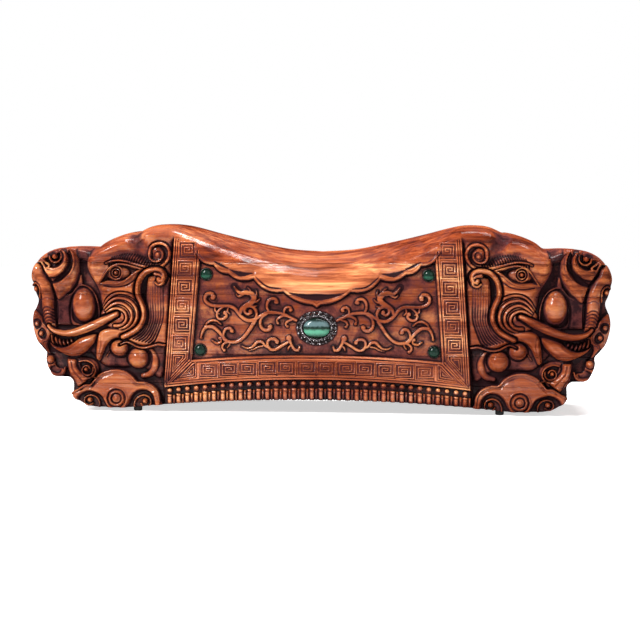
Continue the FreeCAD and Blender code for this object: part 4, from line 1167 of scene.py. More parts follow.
def finish_tree(tree, made, geometry, material, side_shade=None):
    """Ends a tree: one real smooth mesh, its painted side shade between two limits if it has any, and its
    material.
    """
    real = add(tree, "GeometryNodeRealizeInstances", {"Geometry": geometry})
    last = add(tree, "GeometryNodeSetShadeSmooth", {"Geometry": real.outputs[0]})
    if side_shade:
        last = painted_side_shade(tree, last.outputs[0], *side_shade)
    paint = add(tree, "GeometryNodeSetMaterial", {"Geometry": last.outputs[0], "Material": material})
    feed(tree, made, {0: paint.outputs[0]})
    return tree


def round_line_tree(material):
    """Tree that lays a round bar along every line of the piece."""
    tree, given, made = node_tree("round_bar", {"Radius": 0.0005, "Sides": 6})
    curve = add(tree, "GeometryNodeMeshToCurve", {"Mesh": given.outputs["Geometry"]})
    ring = add(tree, "GeometryNodeCurvePrimitiveCircle",
               {"Resolution": given.outputs["Sides"], "Radius": given.outputs["Radius"]})
    bar = add(tree, "GeometryNodeCurveToMesh",
              {"Curve": curve.outputs[0], "Profile Curve": ring.outputs[0], "Fill Caps": True})
    return finish_tree(tree, made, bar.outputs[0], material, (0.5, 0.98))


# -----------------------------------------------------------------------------
# Key fret and border lines on the frame
# -----------------------------------------------------------------------------
FRET_PITCH = 2.15
FRET_SINK = 0.15
FRET_BAR = 0.00062
FRAME_FACE = 60.0
# the two keys of the corner, mitred along its diagonal
CORNER_KEYS = [
    [(105.4, 24.8), (91.2, 27.0), (91.2, 37.9), (93.8, 36.6), (103.0, 26.8), (93.0, 28.4), (93.0, 35.0),
     (99.6, 29.0), (94.8, 29.8), (94.8, 31.8)],
    [(110.6, 28.0), (109.7, 44.7), (98.7, 44.7), (99.1, 41.2), (109.0, 30.6), (108.1, 43.1), (100.8, 43.1),
     (101.2, 41.0), (107.2, 34.2), (106.6, 41.5), (103.0, 41.5)],
]


def fret_key(centre, half_u, half_z, turn):
    """Square spiral of a fret key, from its outer corner in; turn mirrors it left to right."""
    pitch_u, pitch_z = 2 * FRET_PITCH * half_u / FRET_SIDE, 2 * FRET_PITCH * half_z / FRET_SIDE
    line = [(-half_u, -half_z), (half_u, -half_z), (half_u, half_z), (-half_u, half_z)]
    for ring in (1, 2):
        inner_u, inner_z = half_u - ring * pitch_u, half_z - ring * pitch_z
        line.append((-(inner_u + pitch_u), -inner_z))
        line += [(inner_u, -inner_z), (inner_u, inner_z), (-inner_u, inner_z)]
    line += [(-inner_u, 0.0), (0.3, 0.0)]
    return [(centre[0] + turn * u, centre[1] + z) for u, z in line]


def fret_lines():
    """Lines of the fret and its borders on the right half of the frame, as (u, z)."""
    lines = []
    for number, (middle, half_u, half_z) in enumerate(fret_places()):
        turn = 1 if (number + number // FRET_KEYS) % 2 else -1
        lines.append(fret_key(middle, half_u, half_z, turn))
    lines += CORNER_KEYS
    for shift in (0.0, 1.5):
        lines.append([(113.8 - shift, 20.7 + 0.1 * shift), (95.8 - 0.8 * shift, 39.8 - shift)])
    for inset, top in ((0.9, 131.5), (2.6, 131.0), (4.2, 130.5)):
        lines.append(side_border(FRAME_TOP, FRAME_FOOT, -inset, np.linspace(top, 21.2 + inset, 9)))
    for inset in (0.7, 2.6):
        heights = (124.0 - 2 * inset, 100.0, 70.0, 39.0 - inset)
        lines.append(side_border(PANEL_TOP, PANEL_FOOT, inset, heights))
    for foot, rise, lift in ((FRAME_FOOT, FRINGE_RISE, 0.8), (FRAME_FOOT, FRINGE_RISE, 2.6),
                             (PANEL_FOOT, CLOTH_RISE, -0.7)):
        lines.append(foot_border(foot, rise, lift, foot[0] - 0.6 - max(0.0, lift), 15))
    return lines


def fret_piece(name, face, material):
    """Fret and border lines over both halves of one face."""
    lines = []
    for side in (-1, 1):
        for line in fret_lines():
            spots = []
            for u, z in line:
                level = min(FRAME_FACE, float(face_at(np.array(u), np.array(z)))) - FRET_SINK
                spots.append((side * u, face * level, z))
            lines.append(spots)
    return settle(line_piece(name, lines), round_line_tree(material), {"Radius": FRET_BAR, "Sides": 6})


# -----------------------------------------------------------------------------
# Fringe of beads and rods
# -----------------------------------------------------------------------------
RODS = 34
ROD_PITCH = 6.76
PANEL_FACE = 57.0
BEAD_DROP = 2.9
HEAD_HEIGHT = 0.0022
HEAD_RADII = (0.0022, 0.0019)
STRIP_SIZE = (0.0013, 0.0018, 0.0082)
STRIP_PLACE = (0.00338, 0.0, -0.0001)


def joined_geometry(tree, parts):
    """Several parts of a geometry tree as one."""
    join = tree.nodes.new("GeometryNodeJoinGeometry")
    for part in parts:
        tree.links.new(part.outputs[0], join.inputs[0])
    return join.outputs[0]


def fringe_tree(material):
    """Tree that hangs a bead, a T-headed rod and a thin strip at every point of the piece."""
    tree, given, made = node_tree("fringe", {"Rod radius": 0.0019, "Rod height": 0.0086, "Rod drop": 0.0082,
                                             "Bead radius": 0.0021, "Shortening": 16.0})
    rod = add(tree, "GeometryNodeMeshCylinder",
              {"Vertices": 10, "Side Segments": 3, "Radius": given.outputs["Rod radius"],
               "Depth": given.outputs["Rod height"]})
    head = add(tree, "GeometryNodeMeshCone",
               {"Vertices": 10, "Side Segments": 1, "Radius Top": HEAD_RADII[0],
                "Radius Bottom": HEAD_RADII[1], "Depth": HEAD_HEIGHT})
    lift_head = add(tree, "GeometryNodeTransform",
                    {"Geometry": head.outputs[0], "Translation": (0, 0, HEAD_HEIGHT)})
    strip = add(tree, "GeometryNodeMeshCube", {"Size": STRIP_SIZE})
    aside = add(tree, "GeometryNodeTransform", {"Geometry": strip.outputs[0], "Translation": STRIP_PLACE})
    fall = add(tree, "ShaderNodeMath", {0: given.outputs["Rod drop"], 1: -1.0}, operation="MULTIPLY")
    down = add(tree, "ShaderNodeCombineXYZ", {"Z": fall.outputs[0]})
    hung = add(tree, "GeometryNodeTransform",
               {"Geometry": joined_geometry(tree, (rod, lift_head, aside)), "Translation": down.outputs[0]})
    # rods grow shorter away from the middle, as the square of the distance
    place = add(tree, "ShaderNodeSeparateXYZ", {0: add(tree, "GeometryNodeInputPosition").outputs[0]})
    square = add(tree, "ShaderNodeMath", {0: place.outputs[0], 1: place.outputs[0]}, operation="MULTIPLY")
    lost = add(tree, "ShaderNodeMath", {0: square.outputs[0], 1: given.outputs["Shortening"]},
               operation="MULTIPLY")
    kept = add(tree, "ShaderNodeMath", {0: 1.0, 1: lost.outputs[0]}, operation="SUBTRACT")
    stretch = add(tree, "ShaderNodeCombineXYZ", {"X": 1.0, "Y": 1.0, "Z": kept.outputs[0]})
    rods = add(tree, "GeometryNodeInstanceOnPoints",
               {"Points": given.outputs["Geometry"], "Instance": hung.outputs[0],
                "Scale": stretch.outputs[0]})
    bead = add(tree, "GeometryNodeMeshUVSphere",
               {"Segments": 12, "Rings": 8, "Radius": given.outputs["Bead radius"]})
    beads = add(tree, "GeometryNodeInstanceOnPoints",
                {"Points": given.outputs["Geometry"], "Instance": bead.outputs[0]})
    return finish_tree(tree, made, joined_geometry(tree, (rods, beads)), material, (0.74, 1.05))


def fringe_piece(name, face, material):
    """Beads and rods that hang along the arched lower edge of one face."""
    spots = []
    for number in range(RODS):
        x = ROD_PITCH * (number + 0.5 - RODS / 2)
        edge = FRAME_FOOT[1] + float(arch_lift(x, FRINGE_RISE, FRAME_FOOT[0]))
        spots.append([(x, face * PANEL_FACE, edge - BEAD_DROP)])
    return settle(line_piece(name, spots), fringe_tree(material))


# -----------------------------------------------------------------------------
# Stones, their mounts and the feet
# -----------------------------------------------------------------------------
STONE_FLOOR = 55.0
CENTRE_HALF = (10.0, 7.5)
CENTRE_COLLAR = 58.5
CENTRE_WALL = 1.0
CENTRE_DOME = 3.6
CORNER_HALF = (4.0, 4.0)
CORNER_COLLAR = 58.2
CORNER_WALL = 0.95
CORNER_DOME = 2.4
STONE_SIDES = 64
DOME_STEPS = 12
PLATE_PROFILE = [(0.9, 57.45), (2.2, 57.5), (2.9, 57.25), (3.0, 56.9), (0.9, 56.6)]
WIRE_TURNS = 44
WIRE_STEPS = 264
WIRE_TWIST = 0.32
LOBES = 18
FOOT_PROFILE = [(3.25, 4.4), (3.25, 0.9), (3.05, 0.35), (2.6, 0.0), (1.2, 0.0), (1.0, 0.5)]
FOOT_SIDES = 32
FOOT_PLACE = (137.5, 48.5)


def ring_faces(count, sides, closed=False):
    """Quads between neighbouring rings of points."""
    faces = []
    for ring in range(count if closed else count - 1):
        low, high = ring * sides, ((ring + 1) % count) * sides
        for step in range(sides):
            after = (step + 1) % sides
            faces.append((low + step, low + after, high + after, high + step))
    return faces


def round_piece(name, points, faces):
    """Piece from points in millimetres and faces: normals outwards, and all but its flat ends smooth."""
    mesh = bpy.data.meshes.new(name)
    mesh.from_pydata([Vector(point) / 1000 for point in points], [], faces)
    shape = bmesh.new()
    shape.from_mesh(mesh)
    bmesh.ops.recalc_face_normals(shape, faces=shape.faces)
    for side in shape.faces:
        side.smooth = len(side.verts) <= 4
    shape.to_mesh(mesh)
    shape.free()
    return placed(name, mesh)


def turned(name, profile, centre, half, face, closed=False):
    """Oval turning about the depth: profile points are (distance past the oval, distance from mid depth)."""
    points = []
    for past, out in profile:
        for step in range(STONE_SIDES):
            angle = 2 * math.pi * step / STONE_SIDES
            along = centre[0] + (half[0] + past) * math.cos(angle)
            points.append((along, face * out, centre[1] + (half[1] + past) * math.sin(angle)))
    faces = ring_faces(len(profile), STONE_SIDES, closed)
    if not closed:
        for ring, way in ((0, -1), (len(profile) - 1, 1)):
            middle, first = len(points), ring * STONE_SIDES
            points.append((centre[0], face * profile[ring][1], centre[1]))
            for step in range(STONE_SIDES):
                faces.append((middle,) + (first + step, first + (step + 1) % STONE_SIDES)[::way])
    return round_piece(name, points, faces)


def joined(name, pieces):
    """One piece from several, keeping their materials."""
    shape = bmesh.new()
    mesh = bpy.data.meshes.new(name)
    for part in pieces:
        first, material = len(shape.faces), part.data.materials[-1]
        shape.from_mesh(part.data)
        if material.name not in mesh.materials:
            mesh.materials.append(material)
        shape.faces.ensure_lookup_table()
        for side in shape.faces[first:]:
            side.material_index = mesh.materials.find(material.name)
    shape.to_mesh(mesh)
    shape.free()
    for part in pieces:
        old = part.data
        bpy.data.objects.remove(part)
        bpy.data.meshes.remove(old)
    return placed(name, mesh)


def cabochon(name, centre, half, girdle, rise, face):
    """Smooth domed stone."""
    small = min(half)
    profile = [(-0.3, STONE_FLOOR), (0.0, STONE_FLOOR + 0.3), (0.0, girdle)]
    for step in range(1, DOME_STEPS):
        angle = math.pi / 2 * step / DOME_STEPS
        profile.append((-small * (1 - math.cos(angle)), girdle + rise * math.sin(angle)))
    return turned(name, profile, centre, half, face)


def collar(name, centre, half, wall, top, face):
    """Rounded rim that is rubbed over a stone's edge."""
    low = PANEL_FACE - 0.8
    profile = [(wall, low), (wall + 0.15, PANEL_FACE), (wall, top - 0.5), (wall - 0.25, top - 0.05),
               (wall * 0.45, top + 0.1), (0.0, top), (-0.25, top - 0.25), (-0.1, low)]
    return turned(name, profile, centre, half, face, closed=True)


def bead_tree(material):
    """Tree that sets a small bead at every point of the piece."""
    tree, given, made = node_tree("beads", {"Radius": 0.0008})
    bead = add(tree, "GeometryNodeMeshIcoSphere", {"Radius": given.outputs["Radius"], "Subdivisions": 2})
    copies = add(tree, "GeometryNodeInstanceOnPoints",
                 {"Points": given.outputs["Geometry"], "Instance": bead.outputs[0]})
    return finish_tree(tree, made, copies.outputs[0], material)


def oval_place(past, angle, out, face):
    """Place round the centre stone at a distance past its edge."""
    return ((CENTRE_HALF[0] + past) * math.cos(angle), face * out,
            SEAT_CENTRE[1] + (CENTRE_HALF[1] + past) * math.sin(angle))


def twisted_strand(start, face):
    """One of the two strands twisted round the centre stone's collar."""
    line = []
    for step in range(WIRE_STEPS):
        around_stone = 2 * math.pi * step / WIRE_STEPS
        twist = WIRE_TURNS * around_stone + start
        line.append(oval_place(1.45 + WIRE_TWIST * math.cos(twist), around_stone,
                               58.0 + WIRE_TWIST * math.sin(twist), face))
    return line


def curl(middle, past, reach, swing, out, lift, gap, steps, face):
    """Open loop of wire round the setting; its gap is a share of half a turn."""
    line = []
    for step in range(steps + 1):
        turn = math.pi * (gap + 2 * (1 - gap) * step / steps)
        line.append(oval_place(past + reach * math.cos(turn), middle + swing * math.sin(turn),
                               out + lift * math.cos(turn), face))
    return line


def setting(name, face, bars, wires, beads, metal):
    """Openwork setting: a plain collar, a twisted wire, and a ring of curls with beads between them."""
    parts = [collar(name + "_collar", SEAT_CENTRE, CENTRE_HALF, CENTRE_WALL, CENTRE_COLLAR, face),
             turned(name + "_plate", PLATE_PROFILE, SEAT_CENTRE, CENTRE_HALF, face, closed=True)]
    for part in parts:
        part.data.materials.append(metal)
    wire = line_piece(name + "_wire", [twisted_strand(start, face) for start in (0, math.pi)], closed=True)
    parts.append(settle(wire, wires, {"Radius": 0.00034, "Sides": 5}))
    curls, outer, inner = [], [], []
    for number in range(LOBES):
        middle = 2 * math.pi * (number + 0.5) / LOBES
        curls.append(curl(middle, 3.45, -1.45, 0.125, 57.9, 0.25, 0.15, 12, face))
        curls.append(curl(middle, 2.9, 0.75, 0.07, 58.2, 0.0, 0.2, 8, face))
        edge = 2 * math.pi * number / LOBES
        outer.append([oval_place(4.55, edge, 57.7, face)])
        inner.append([oval_place(2.35, edge, 58.2, face)])
    parts.append(settle(line_piece(name + "_curls", curls), bars, {"Radius": 0.00038, "Sides": 6}))
    for spots, radius in ((outer, 0.00092), (inner, 0.00055)):
        parts.append(settle(line_piece(name + "_beads", spots), beads, {"Radius": radius}))
    return joined(name, parts)


def foot_piece(name, x, y):
    """Black stub foot with a rounded lower edge."""
    points = []
    for radius, z in FOOT_PROFILE:
        for step in range(FOOT_SIDES):
            angle = 2 * math.pi * step / FOOT_SIDES
            points.append((x + radius * math.cos(angle), y + radius * math.sin(angle), z))
    faces = ring_faces(len(FOOT_PROFILE), FOOT_SIDES)
    for first in (0, len(points) - FOOT_SIDES):
        faces.append(tuple(range(first, first + FOOT_SIDES)))
    return round_piece(name, points, faces)


# -----------------------------------------------------------------------------
# Materials
# -----------------------------------------------------------------------------
def shader_group(name, inputs, outputs):
    """Shader node group with named inputs and outputs."""
    group = bpy.data.node_groups.new(name, "ShaderNodeTree")
    for label, (kind, value) in inputs.items():
        socket = group.interface.new_socket(label, in_out="INPUT", socket_type=kind)
        socket.default_value = value
    for label, kind in outputs.items():
        group.interface.new_socket(label, in_out="OUTPUT", socket_type=kind)
    return group, group.nodes.new("NodeGroupInput"), group.nodes.new("NodeGroupOutput")


def noise(tree, vector, scale, detail, rough, distortion=0.0):
    """Noise whose first output is its value."""
    return add(tree, "ShaderNodeTexNoise", {"Vector": vector, "Scale": scale, "Detail": detail,
                                            "Roughness": rough, "Distortion": distortion}).outputs[0]


def stretched(tree, vector, scale):
    """Coordinates stretched by a scale along each axis."""
    return add(tree, "ShaderNodeMapping", {"Vector": vector, "Scale": scale}).outputs[0]


def ramp(tree, value, stops, mode="LINEAR"):
    """Colour ramp through (place, colour) stops."""
    node = add(tree, "ShaderNodeValToRGB", {"Fac": value})
    node.color_ramp.interpolation = mode
    while len(node.color_ramp.elements) < len(stops):
        node.color_ramp.elements.new(0.5)
    for element, (place, colour) in zip(node.color_ramp.elements, stops):
        element.position = place
        element.color = (*colour, 1.0)
    return node.outputs[0]


def between(tree, value, low, high, to_low=0.0, to_high=1.0):
    """Value carried from one range to another and held inside it."""
    return add(tree, "ShaderNodeMapRange", {"Value": value, "From Min": low, "From Max": high,
                                            "To Min": to_low, "To Max": to_high}).outputs[0]


def sums(tree, kind, *values):
    """Arithmetic on one, two or three values."""
    return add(tree, "ShaderNodeMath", dict(enumerate(values)), operation=kind).outputs[0]


def mixed(tree, share, first, second, kind="MIX"):
    """Mix of two colours."""
    return add(tree, "ShaderNodeMix", {0: share, 6: first, 7: second}, data_type="RGBA",
               blend_type=kind).outputs[2]


def object_place(tree):
    """Place on the object, in metres."""
    return tree.nodes.new("ShaderNodeTexCoord").outputs["Object"]


def stored_shade_and_grime(tree):
    """Painted shade, painted highlight and staining of the place, as the mesh keeps them in its hollow
    attribute.
    """
    return add(tree, "ShaderNodeAttribute", attribute_name="hollow").outputs["Fac"]


WOOD_STOPS = [(0.34, (0.055, 0.009, 0.004)), (0.47, (0.150, 0.028, 0.009)), (0.60, (0.262, 0.060, 0.019)),
              (0.78, (0.440, 0.155, 0.052))]
# for each board from the lowest up: its place in the wood's pattern, and its tint
BOARD_TONES = (0.25, 0.8, 0.45, 0.95, 0.55, 0.1)
BOARD_TINTS = ((0.92, 0.86, 0.78), (1.02, 1.0, 0.95), (0.96, 0.92, 0.86), (1.0, 0.96, 0.9), (1.2, 1.34, 1.3),
               (0.96, 0.80, 0.72))
PORE_COLOUR = (0.075, 0.018, 0.008, 1)
SEAM_COLOUR = (0.055, 0.014, 0.008, 1)
# dark colours laid in hollows and on steep sides, painted shade as well as staining; the gain below lightens
# ridges with wear and painted highlight
DUSKY_STAIN_AND_SHADE = (0.082, 0.023, 0.024, 1)
BLACK_STAIN_AND_SHADE = (0.013, 0.0052, 0.0068, 1)
WEAR_AND_HIGHLIGHT_GAIN = (1.7, 2.2, 2.9, 1)


def by_board(group, share, colours):
    """One colour for each board, by the height as a share of the block's."""
    places = [0.0] + [top / BLOCK_TOP for _, top in SEAMS.values()]
    return ramp(group, share, list(zip(places, colours)), "CONSTANT")


def seam_lines(group, height):
    """Thin lines where the boards meet."""
    seams = 0.0
    for _, top in SEAMS.values():
        away = sums(group, "ABSOLUTE", sums(group, "SUBTRACT", height, top / 1000))
        seams = sums(group, "MAXIMUM", seams, between(group, away, 0.00010, 0.00030, 1.0, 0.0))
    return seams


def wood_level(group, own, share, figure, streaks, end):
    """Lightness of the bare wood: long figure and streaks, and rings in their place on the sawn ends."""
    # the upper boards are the most strongly streaked
    streaked = sums(group, "MULTIPLY", sums(group, "SUBTRACT", streaks, 0.5),
                    between(group, share, 0.61, 0.63, 0.5, 0.95))
    level = sums(group, "MULTIPLY_ADD", figure, 1.1, sums(group, "ADD", streaked, 0.01))
    rings = add(group, "ShaderNodeTexWave", {"Vector": own, "Scale": 95.0, "Distortion": 5.0, "Detail": 3.0,
                                             "Detail Scale": 0.35},
                wave_type="RINGS", rings_direction="X").outputs["Fac"]
    sawn = sums(group, "MULTIPLY_ADD", rings, 0.13, sums(group, "MULTIPLY_ADD", streaks, 0.35, 0.24))
    return sums(group, "MULTIPLY_ADD", sums(group, "SUBTRACT", sawn, level), end, level)


def stain_shade_and_highlight(group, base, position, hollow, end):
    """Wood with darkening in its hollows, part staining and part painted shade, and ridges lightened with
    wear and painted highlight; gives how dusky and how black it is too.
    """
    mottle = noise(group, position, 66.0, 5.0, 0.66, 0.3)
    swing = between(group, hollow, 0.0, 0.2, 1.3, 1.9)
    swing = sums(group, "MULTIPLY", swing, between(group, end, 0.0, 1.0, 1.0, 0.3))
    deep = sums(group, "MULTIPLY_ADD", sums(group, "SUBTRACT", mottle, 0.5), swing, hollow)
    dusky = between(group, deep, -0.04, 0.34)
    black = between(group, deep, 0.26, 0.66)
    # ridges lightened as wear and painted highlight
    wear_and_highlight = between(group, hollow, -0.12, -0.48)
    stained_and_shaded = mixed(group, sums(group, "MULTIPLY", dusky, 0.85), base, DUSKY_STAIN_AND_SHADE)
    stained_and_shaded = mixed(group, sums(group, "MULTIPLY", black, 0.94), stained_and_shaded, BLACK_STAIN_AND_SHADE)
    bright = mixed(group, 1.0, stained_and_shaded, WEAR_AND_HIGHLIGHT_GAIN, "MULTIPLY")
    return mixed(group, sums(group, "MULTIPLY", wear_and_highlight, 0.75), stained_and_shaded, bright), dusky, black


def glued_wood():
    """Group for glued-up oiled wood: grain that changes at each seam, staining and painted shade in hollows,
    ridges lightened by wear and painted highlight.
    """
    group, given, made = shader_group(
        "glued_wood",
        {"Position": ("NodeSocketVector", (0, 0, 0)), "Hollow": ("NodeSocketFloat", 0.0)},
        {"Color": "NodeSocketColor", "Roughness": "NodeSocketFloat", "Coat": "NodeSocketFloat",
         "Height": "NodeSocketFloat"})
    position, hollow = given.outputs["Position"], given.outputs["Hollow"]
    height = add(group, "ShaderNodeSeparateXYZ", {0: position}).outputs[2]
    share = sums(group, "DIVIDE", height, BLOCK_TOP / 1000)
    shift = add(group, "ShaderNodeVectorMath",
                {0: by_board(group, share, [(tone,) * 3 for tone in BOARD_TONES]), 1: (0.9, 0.35, 0.0)},
                operation="MULTIPLY").outputs[0]
    own = add(group, "ShaderNodeVectorMath", {0: position, 1: shift}, operation="ADD").outputs[0]
    figure = noise(group, stretched(group, own, (5, 26, 34)), 1.0, 4.0, 0.55, 0.9)
    streaks = noise(group, stretched(group, own, (11, 230, 260)), 1.0, 5.0, 0.6, 0.35)
    pores = noise(group, stretched(group, own, (90, 1500, 1700)), 1.0, 2.0, 0.5)
    facing = add(group, "ShaderNodeSeparateXYZ",
                 {0: group.nodes.new("ShaderNodeTexCoord").outputs["Normal"]}).outputs[0]
    end = between(group, sums(group, "ABSOLUTE", facing), 0.75, 0.95)
    base = ramp(group, wood_level(group, own, share, figure, streaks, end), WOOD_STOPS)
    base = mixed(group, 1.0, base, by_board(group, share, BOARD_TINTS), "MULTIPLY")
    spots = between(group, pores, 0.62, 0.72)
    base = mixed(group, sums(group, "MULTIPLY", spots, 0.45), base, PORE_COLOUR)
    seams = seam_lines(group, height)
    base = mixed(group, sums(group, "MULTIPLY", seams, 0.25), base, SEAM_COLOUR)
    colour, dusky, black = stain_shade_and_highlight(group, base, position, hollow, end)
    rough = sums(group, "MULTIPLY_ADD", streaks, 0.30, 0.17)
    rough = sums(group, "MULTIPLY_ADD", black, 0.30, rough)
    # the polish breaks up along fine scratches and is dull where staining and painted shade darken the wood
    scratches = noise(group, stretched(group, own, (26, 800, 950)), 1.0, 3.0, 0.6, 0.2)
    dulled = sums(group, "SUBTRACT", 1.0, sums(group, "MULTIPLY", dusky, 0.8))
    polish = sums(group, "MULTIPLY", between(group, scratches, 0.40, 0.60, 0.20, 1.0), dulled)
    polish = sums(group, "MULTIPLY", polish, between(group, figure, 0.42, 0.56, 0.15, 1.0))
    tool = noise(group, position, 480.0, 5.0, 0.68)
    depth = sums(group, "MULTIPLY_ADD", scratches, 0.35, sums(group, "MULTIPLY", tool, 0.75))
    depth = sums(group, "SUBTRACT", depth, sums(group, "MULTIPLY", spots, 0.4))
    depth = sums(group, "SUBTRACT", depth, seams)
    feed(group, made, {"Color": colour, "Roughness": rough, "Coat": polish, "Height": depth})
    return group


def new_material(name):
    """Empty node material with its shader and output."""
    material = bpy.data.materials.new(name)
    material.use_nodes = True
    tree = material.node_tree
    tree.nodes.clear()
    shader = tree.nodes.new("ShaderNodeBsdfPrincipled")
    feed(tree, tree.nodes.new("ShaderNodeOutputMaterial"), {0: shader.outputs[0]})
    return material, tree, shader


def wood_material(name, group, shade_shift=0.0):
    """Oiled and rubbed carved wood; its polish dulls towards the edges that turn away."""
    material, tree, shader = new_material(name)
    # the stored hollow value carries painted shade, painted highlight and staining; the shift moves it
    # towards painted highlight
    hollow = sums(tree, "ADD", stored_shade_and_grime(tree), shade_shift)
    look = add(tree, "ShaderNodeGroup", node_tree=group)
    feed(tree, look, {"Position": object_place(tree), "Hollow": hollow})
    away = tree.nodes.new("ShaderNodeLayerWeight").outputs["Facing"]
    polish = sums(tree, "MULTIPLY", look.outputs["Coat"], between(tree, away, 0.45, 0.85, 1.0, 0.08))
    bump = add(tree, "ShaderNodeBump", {"Height": look.outputs["Height"], "Strength": 0.5,
                                        "Distance": 0.0005})
    feed(tree, shader, {"Base Color": look.outputs["Color"], "Roughness": look.outputs["Roughness"],
                        "Coat Weight": polish, "Coat Roughness": 0.12, "Coat IOR": 1.6,
                        "Specular IOR Level": 0.0, "Normal": bump.outputs[0]})
    return material


def stone_material(name, middle, half_height, glow, painted_reflection, coat):
    """Polished green stone with a painted glow low down and, on the large one, a painted reflection above the
    middle.
    """
    material, tree, shader = new_material(name)
    place = object_place(tree)
    height = add(tree, "ShaderNodeSeparateXYZ", {0: place}).outputs[2]
    veins = noise(tree, place, 260.0, 4.0, 0.6, 1.2)
    share = between(tree, height, middle - half_height, middle + half_height)
    share = sums(tree, "MULTIPLY_ADD", sums(tree, "SUBTRACT", veins, 0.5), 0.14, share)
    # the light band low in the stone is a painted glow, and the light band above its middle a painted
    # reflection
    colour = ramp(tree, share, [(0.08, (0.001, 0.012, 0.006)), (0.27, glow), (0.36, glow),
                                (0.47, (0.002, 0.016, 0.009)), (0.54, (0.002, 0.016, 0.009)),
                                (0.62, painted_reflection), (0.76, painted_reflection), (0.9, (0.001, 0.010, 0.006))])
    feed(tree, shader, {"Base Color": colour, "Roughness": between(tree, veins, 0.2, 0.8, 0.05, 0.13),
                        "Coat Weight": coat, "Coat Roughness": 0.07, "Specular IOR Level": 0.0})
    return material


def silver_material(name, middle, bright):
    """Darkened silver, rubbed bright on its high places; on wires the hollow value adds painted highlight on
    their fronts and painted shade on their sides.
    """
    material, tree, shader = new_material(name)
    # painted highlight on the fronts of wires and painted shade on their sides, from the stored hollow value
    tarnish_and_shade = sums(tree, "MULTIPLY_ADD", stored_shade_and_grime(tree), -0.25,
                noise(tree, object_place(tree), 700.0, 4.0, 0.6))
    colour = ramp(tree, tarnish_and_shade, [(0.40, (0.008, 0.006, 0.006)), (0.58, middle), (0.74, bright)])
    bump = add(tree, "ShaderNodeBump", {"Height": tarnish_and_shade, "Strength": 0.25, "Distance": 0.0002})
    feed(tree, shader, {"Base Color": colour, "Roughness": between(tree, tarnish_and_shade, 0.3, 0.7, 0.5, 0.24),
                        "Metallic": 0.95, "Normal": bump.outputs[0]})
    return material


def foot_material():
    """Dull black of the feet."""
    material, tree, shader = new_material("black_foot")
    dust = noise(tree, object_place(tree), 900.0, 3.0, 0.6)
    colour = ramp(tree, dust, [(0.3, (0.012, 0.011, 0.011)), (0.8, (0.035, 0.032, 0.03))])
    feed(tree, shader, {"Base Color": colour, "Roughness": between(tree, dust, 0.2, 0.8, 0.55, 0.75)})
    return material


# -----------------------------------------------------------------------------
# Making the pieces
# -----------------------------------------------------------------------------
def finish_piece(piece, node, material=None):
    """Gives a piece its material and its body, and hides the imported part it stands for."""
    if material and not piece.data.materials:
        piece.data.materials.append(material)
    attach(piece, "root")
    if node:
        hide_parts(node)


wood_look = glued_wood()
carved_wood = wood_material("carved_wood", wood_look)
# fret and fringe keep values painted from which way they face; the shift lightens them towards painted
# highlight
fret_wood = wood_material("fret_wood", wood_look, -0.56)
fringe_wood = wood_material("fringe_wood", wood_look, -0.56)
green_centre = stone_material("green_centre_stone", 0.0645, 0.0075, (0.07, 0.27, 0.17),
                              (0.08, 0.13, 0.135), 0.5)
green_upper = stone_material("green_upper_stone", 0.1045, 0.004, (0.006, 0.055, 0.030),
                             (0.002, 0.018, 0.010), 0.35)
green_lower = stone_material("green_lower_stone", 0.0473, 0.004, (0.002, 0.022, 0.012),
                             (0.001, 0.010, 0.006), 0.35)
dark_silver = silver_material("darkened_silver", (0.022, 0.018, 0.018), (0.42, 0.38, 0.38))
bead_silver = silver_material("rubbed_silver", (0.22, 0.19, 0.20), (0.85, 0.80, 0.82))
bezel_silver = silver_material("bezel_silver", (0.050, 0.040, 0.036), (0.07, 0.055, 0.05))
black_foot = foot_material()

for name, (low, high) in SEAMS.items():
    finish_piece(board("carved_" + name, low, high), name, carved_wood)
finish_piece(saddle("carved_saddle_board", SADDLE_SEAM), "saddle_board", carved_wood)

bars, wires, beads = round_line_tree(dark_silver), round_line_tree(bead_silver), bead_tree(bead_silver)
for face, side in ((-1, "front"), (1, "back")):
    finish_piece(fret_piece(side + "_fret", face, fret_wood), None)
    finish_piece(fringe_piece(side + "_fringe", face, fringe_wood), None)
    finish_piece(setting(side + "_openwork_setting", face, bars, wires, beads, dark_silver),
                 side + "_centre_setting")
    finish_piece(cabochon(side + "_oval_stone", SEAT_CENTRE, CENTRE_HALF, CENTRE_COLLAR, CENTRE_DOME, face),
                 side + "_centre_stone", green_centre)
    for way, hand in ((-1, "left"), (1, "right")):
        for (u, z), level, green in zip(CORNER_SEATS, ("upper", "lower"), (green_upper, green_lower)):
            name, place = f"{side}_{level}_{hand}", (way * u, z)
            finish_piece(collar(name + "_rim", place, CORNER_HALF, CORNER_WALL, CORNER_COLLAR, face),
                         name + "_bezel", bezel_silver)
            finish_piece(cabochon(name + "_cabochon", place, CORNER_HALF, CORNER_COLLAR, CORNER_DOME, face),
                         name + "_stone", green)
        finish_piece(foot_piece(f"{side}_{hand}_stub", way * FOOT_PLACE[0], face * FOOT_PLACE[1]),
                     f"{side}_{hand}_foot", black_foot)


# -----------------------------------------------------------------------------
# Floor, light and world
# -----------------------------------------------------------------------------
FLOOR_REACH = 30
LIGHT_AIM = Vector((0, 0, 0.06))
WHITE = (1, 1, 1, 1)


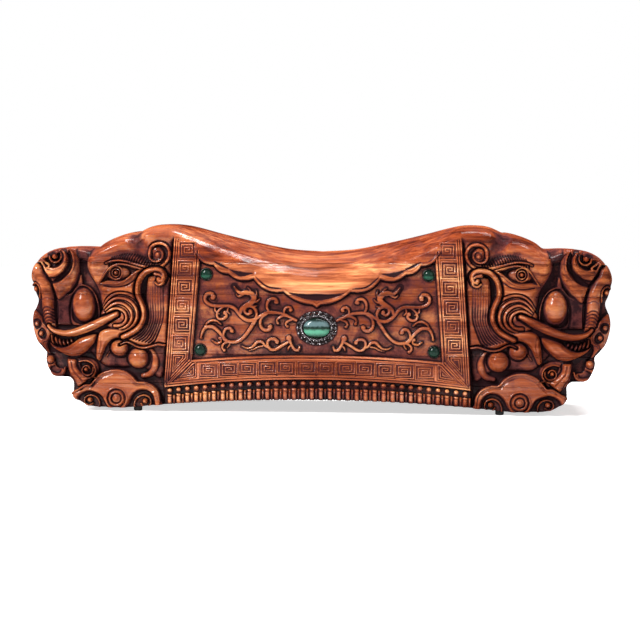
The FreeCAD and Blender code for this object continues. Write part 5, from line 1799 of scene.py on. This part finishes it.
def white_floor():
    """Wide pale floor that looks white to the camera and keeps the object's shadow."""
    mesh = bpy.data.meshes.new("floor")
    corners = [(x * FLOOR_REACH, y * FLOOR_REACH, 0) for x, y in ((-1, -1), (1, -1), (1, 1), (-1, 1))]
    mesh.from_pydata(corners, [], [(0, 1, 2, 3)])
    material = bpy.data.materials.new("pale_floor")
    material.use_nodes = True
    tree = material.node_tree
    tree.nodes.clear()
    matt = add(tree, "ShaderNodeBsdfDiffuse", {"Color": (0.8, 0.8, 0.8, 1)})
    away = add(tree, "ShaderNodeVectorMath", {0: object_place(tree)}, operation="LENGTH").outputs["Value"]
    glow = add(tree, "ShaderNodeEmission", {"Color": WHITE,
                                            "Strength": between(tree, away, 0.35, 1.3, 0.62, 1.0)})
    both = add(tree, "ShaderNodeAddShader", {0: matt.outputs[0], 1: glow.outputs[0]})
    seen = tree.nodes.new("ShaderNodeLightPath")
    mix = add(tree, "ShaderNodeMixShader", {0: seen.outputs["Is Camera Ray"], 1: matt.outputs[0],
                                            2: both.outputs[0]})
    feed(tree, tree.nodes.new("ShaderNodeOutputMaterial"), {0: mix.outputs[0]})
    mesh.materials.append(material)
    floor = placed("floor", mesh)


def soft_light(name, place, size, power):
    """Rectangular soft light turned towards the middle of the object."""
    data = bpy.data.lights.new(name, "AREA")
    data.shape = "RECTANGLE"
    data.size, data.size_y = size
    data.energy = power
    light = placed(name, data)
    light.location = place
    light.rotation_euler = (LIGHT_AIM - Vector(place)).to_track_quat("-Z", "Y").to_euler()


def white_world():
    """White to the camera and in reflections, a plain grey light otherwise."""
    world = bpy.data.worlds.new("studio")
    world.use_nodes = True
    tree = world.node_tree
    tree.nodes.clear()
    seen = tree.nodes.new("ShaderNodeLightPath")
    dim = add(tree, "ShaderNodeBackground", {"Color": WHITE, "Strength": 0.10})
    shown = add(tree, "ShaderNodeBackground", {"Color": WHITE, "Strength": 1.0})
    both = sums(tree, "MAXIMUM", seen.outputs["Is Camera Ray"], seen.outputs["Is Transmission Ray"])
    both = sums(tree, "MAXIMUM", both, seen.outputs["Is Glossy Ray"])
    mix = add(tree, "ShaderNodeMixShader", {0: both, 1: dim.outputs[0], 2: shown.outputs[0]})
    feed(tree, tree.nodes.new("ShaderNodeOutputWorld"), {0: mix.outputs[0]})
    bpy.context.scene.world = world


white_floor()
white_world()
soft_light("key", (-1.0, -1.15, 1.15), (0.45, 0.8), 56)
soft_light("top", (0.26, 0.06, 1.35), (0.55, 0.9), 30)
soft_light("fill", (1.0, -1.4, 0.8), (1.0, 0.9), 4)
bpy.context.scene.view_settings.view_transform = "Standard"
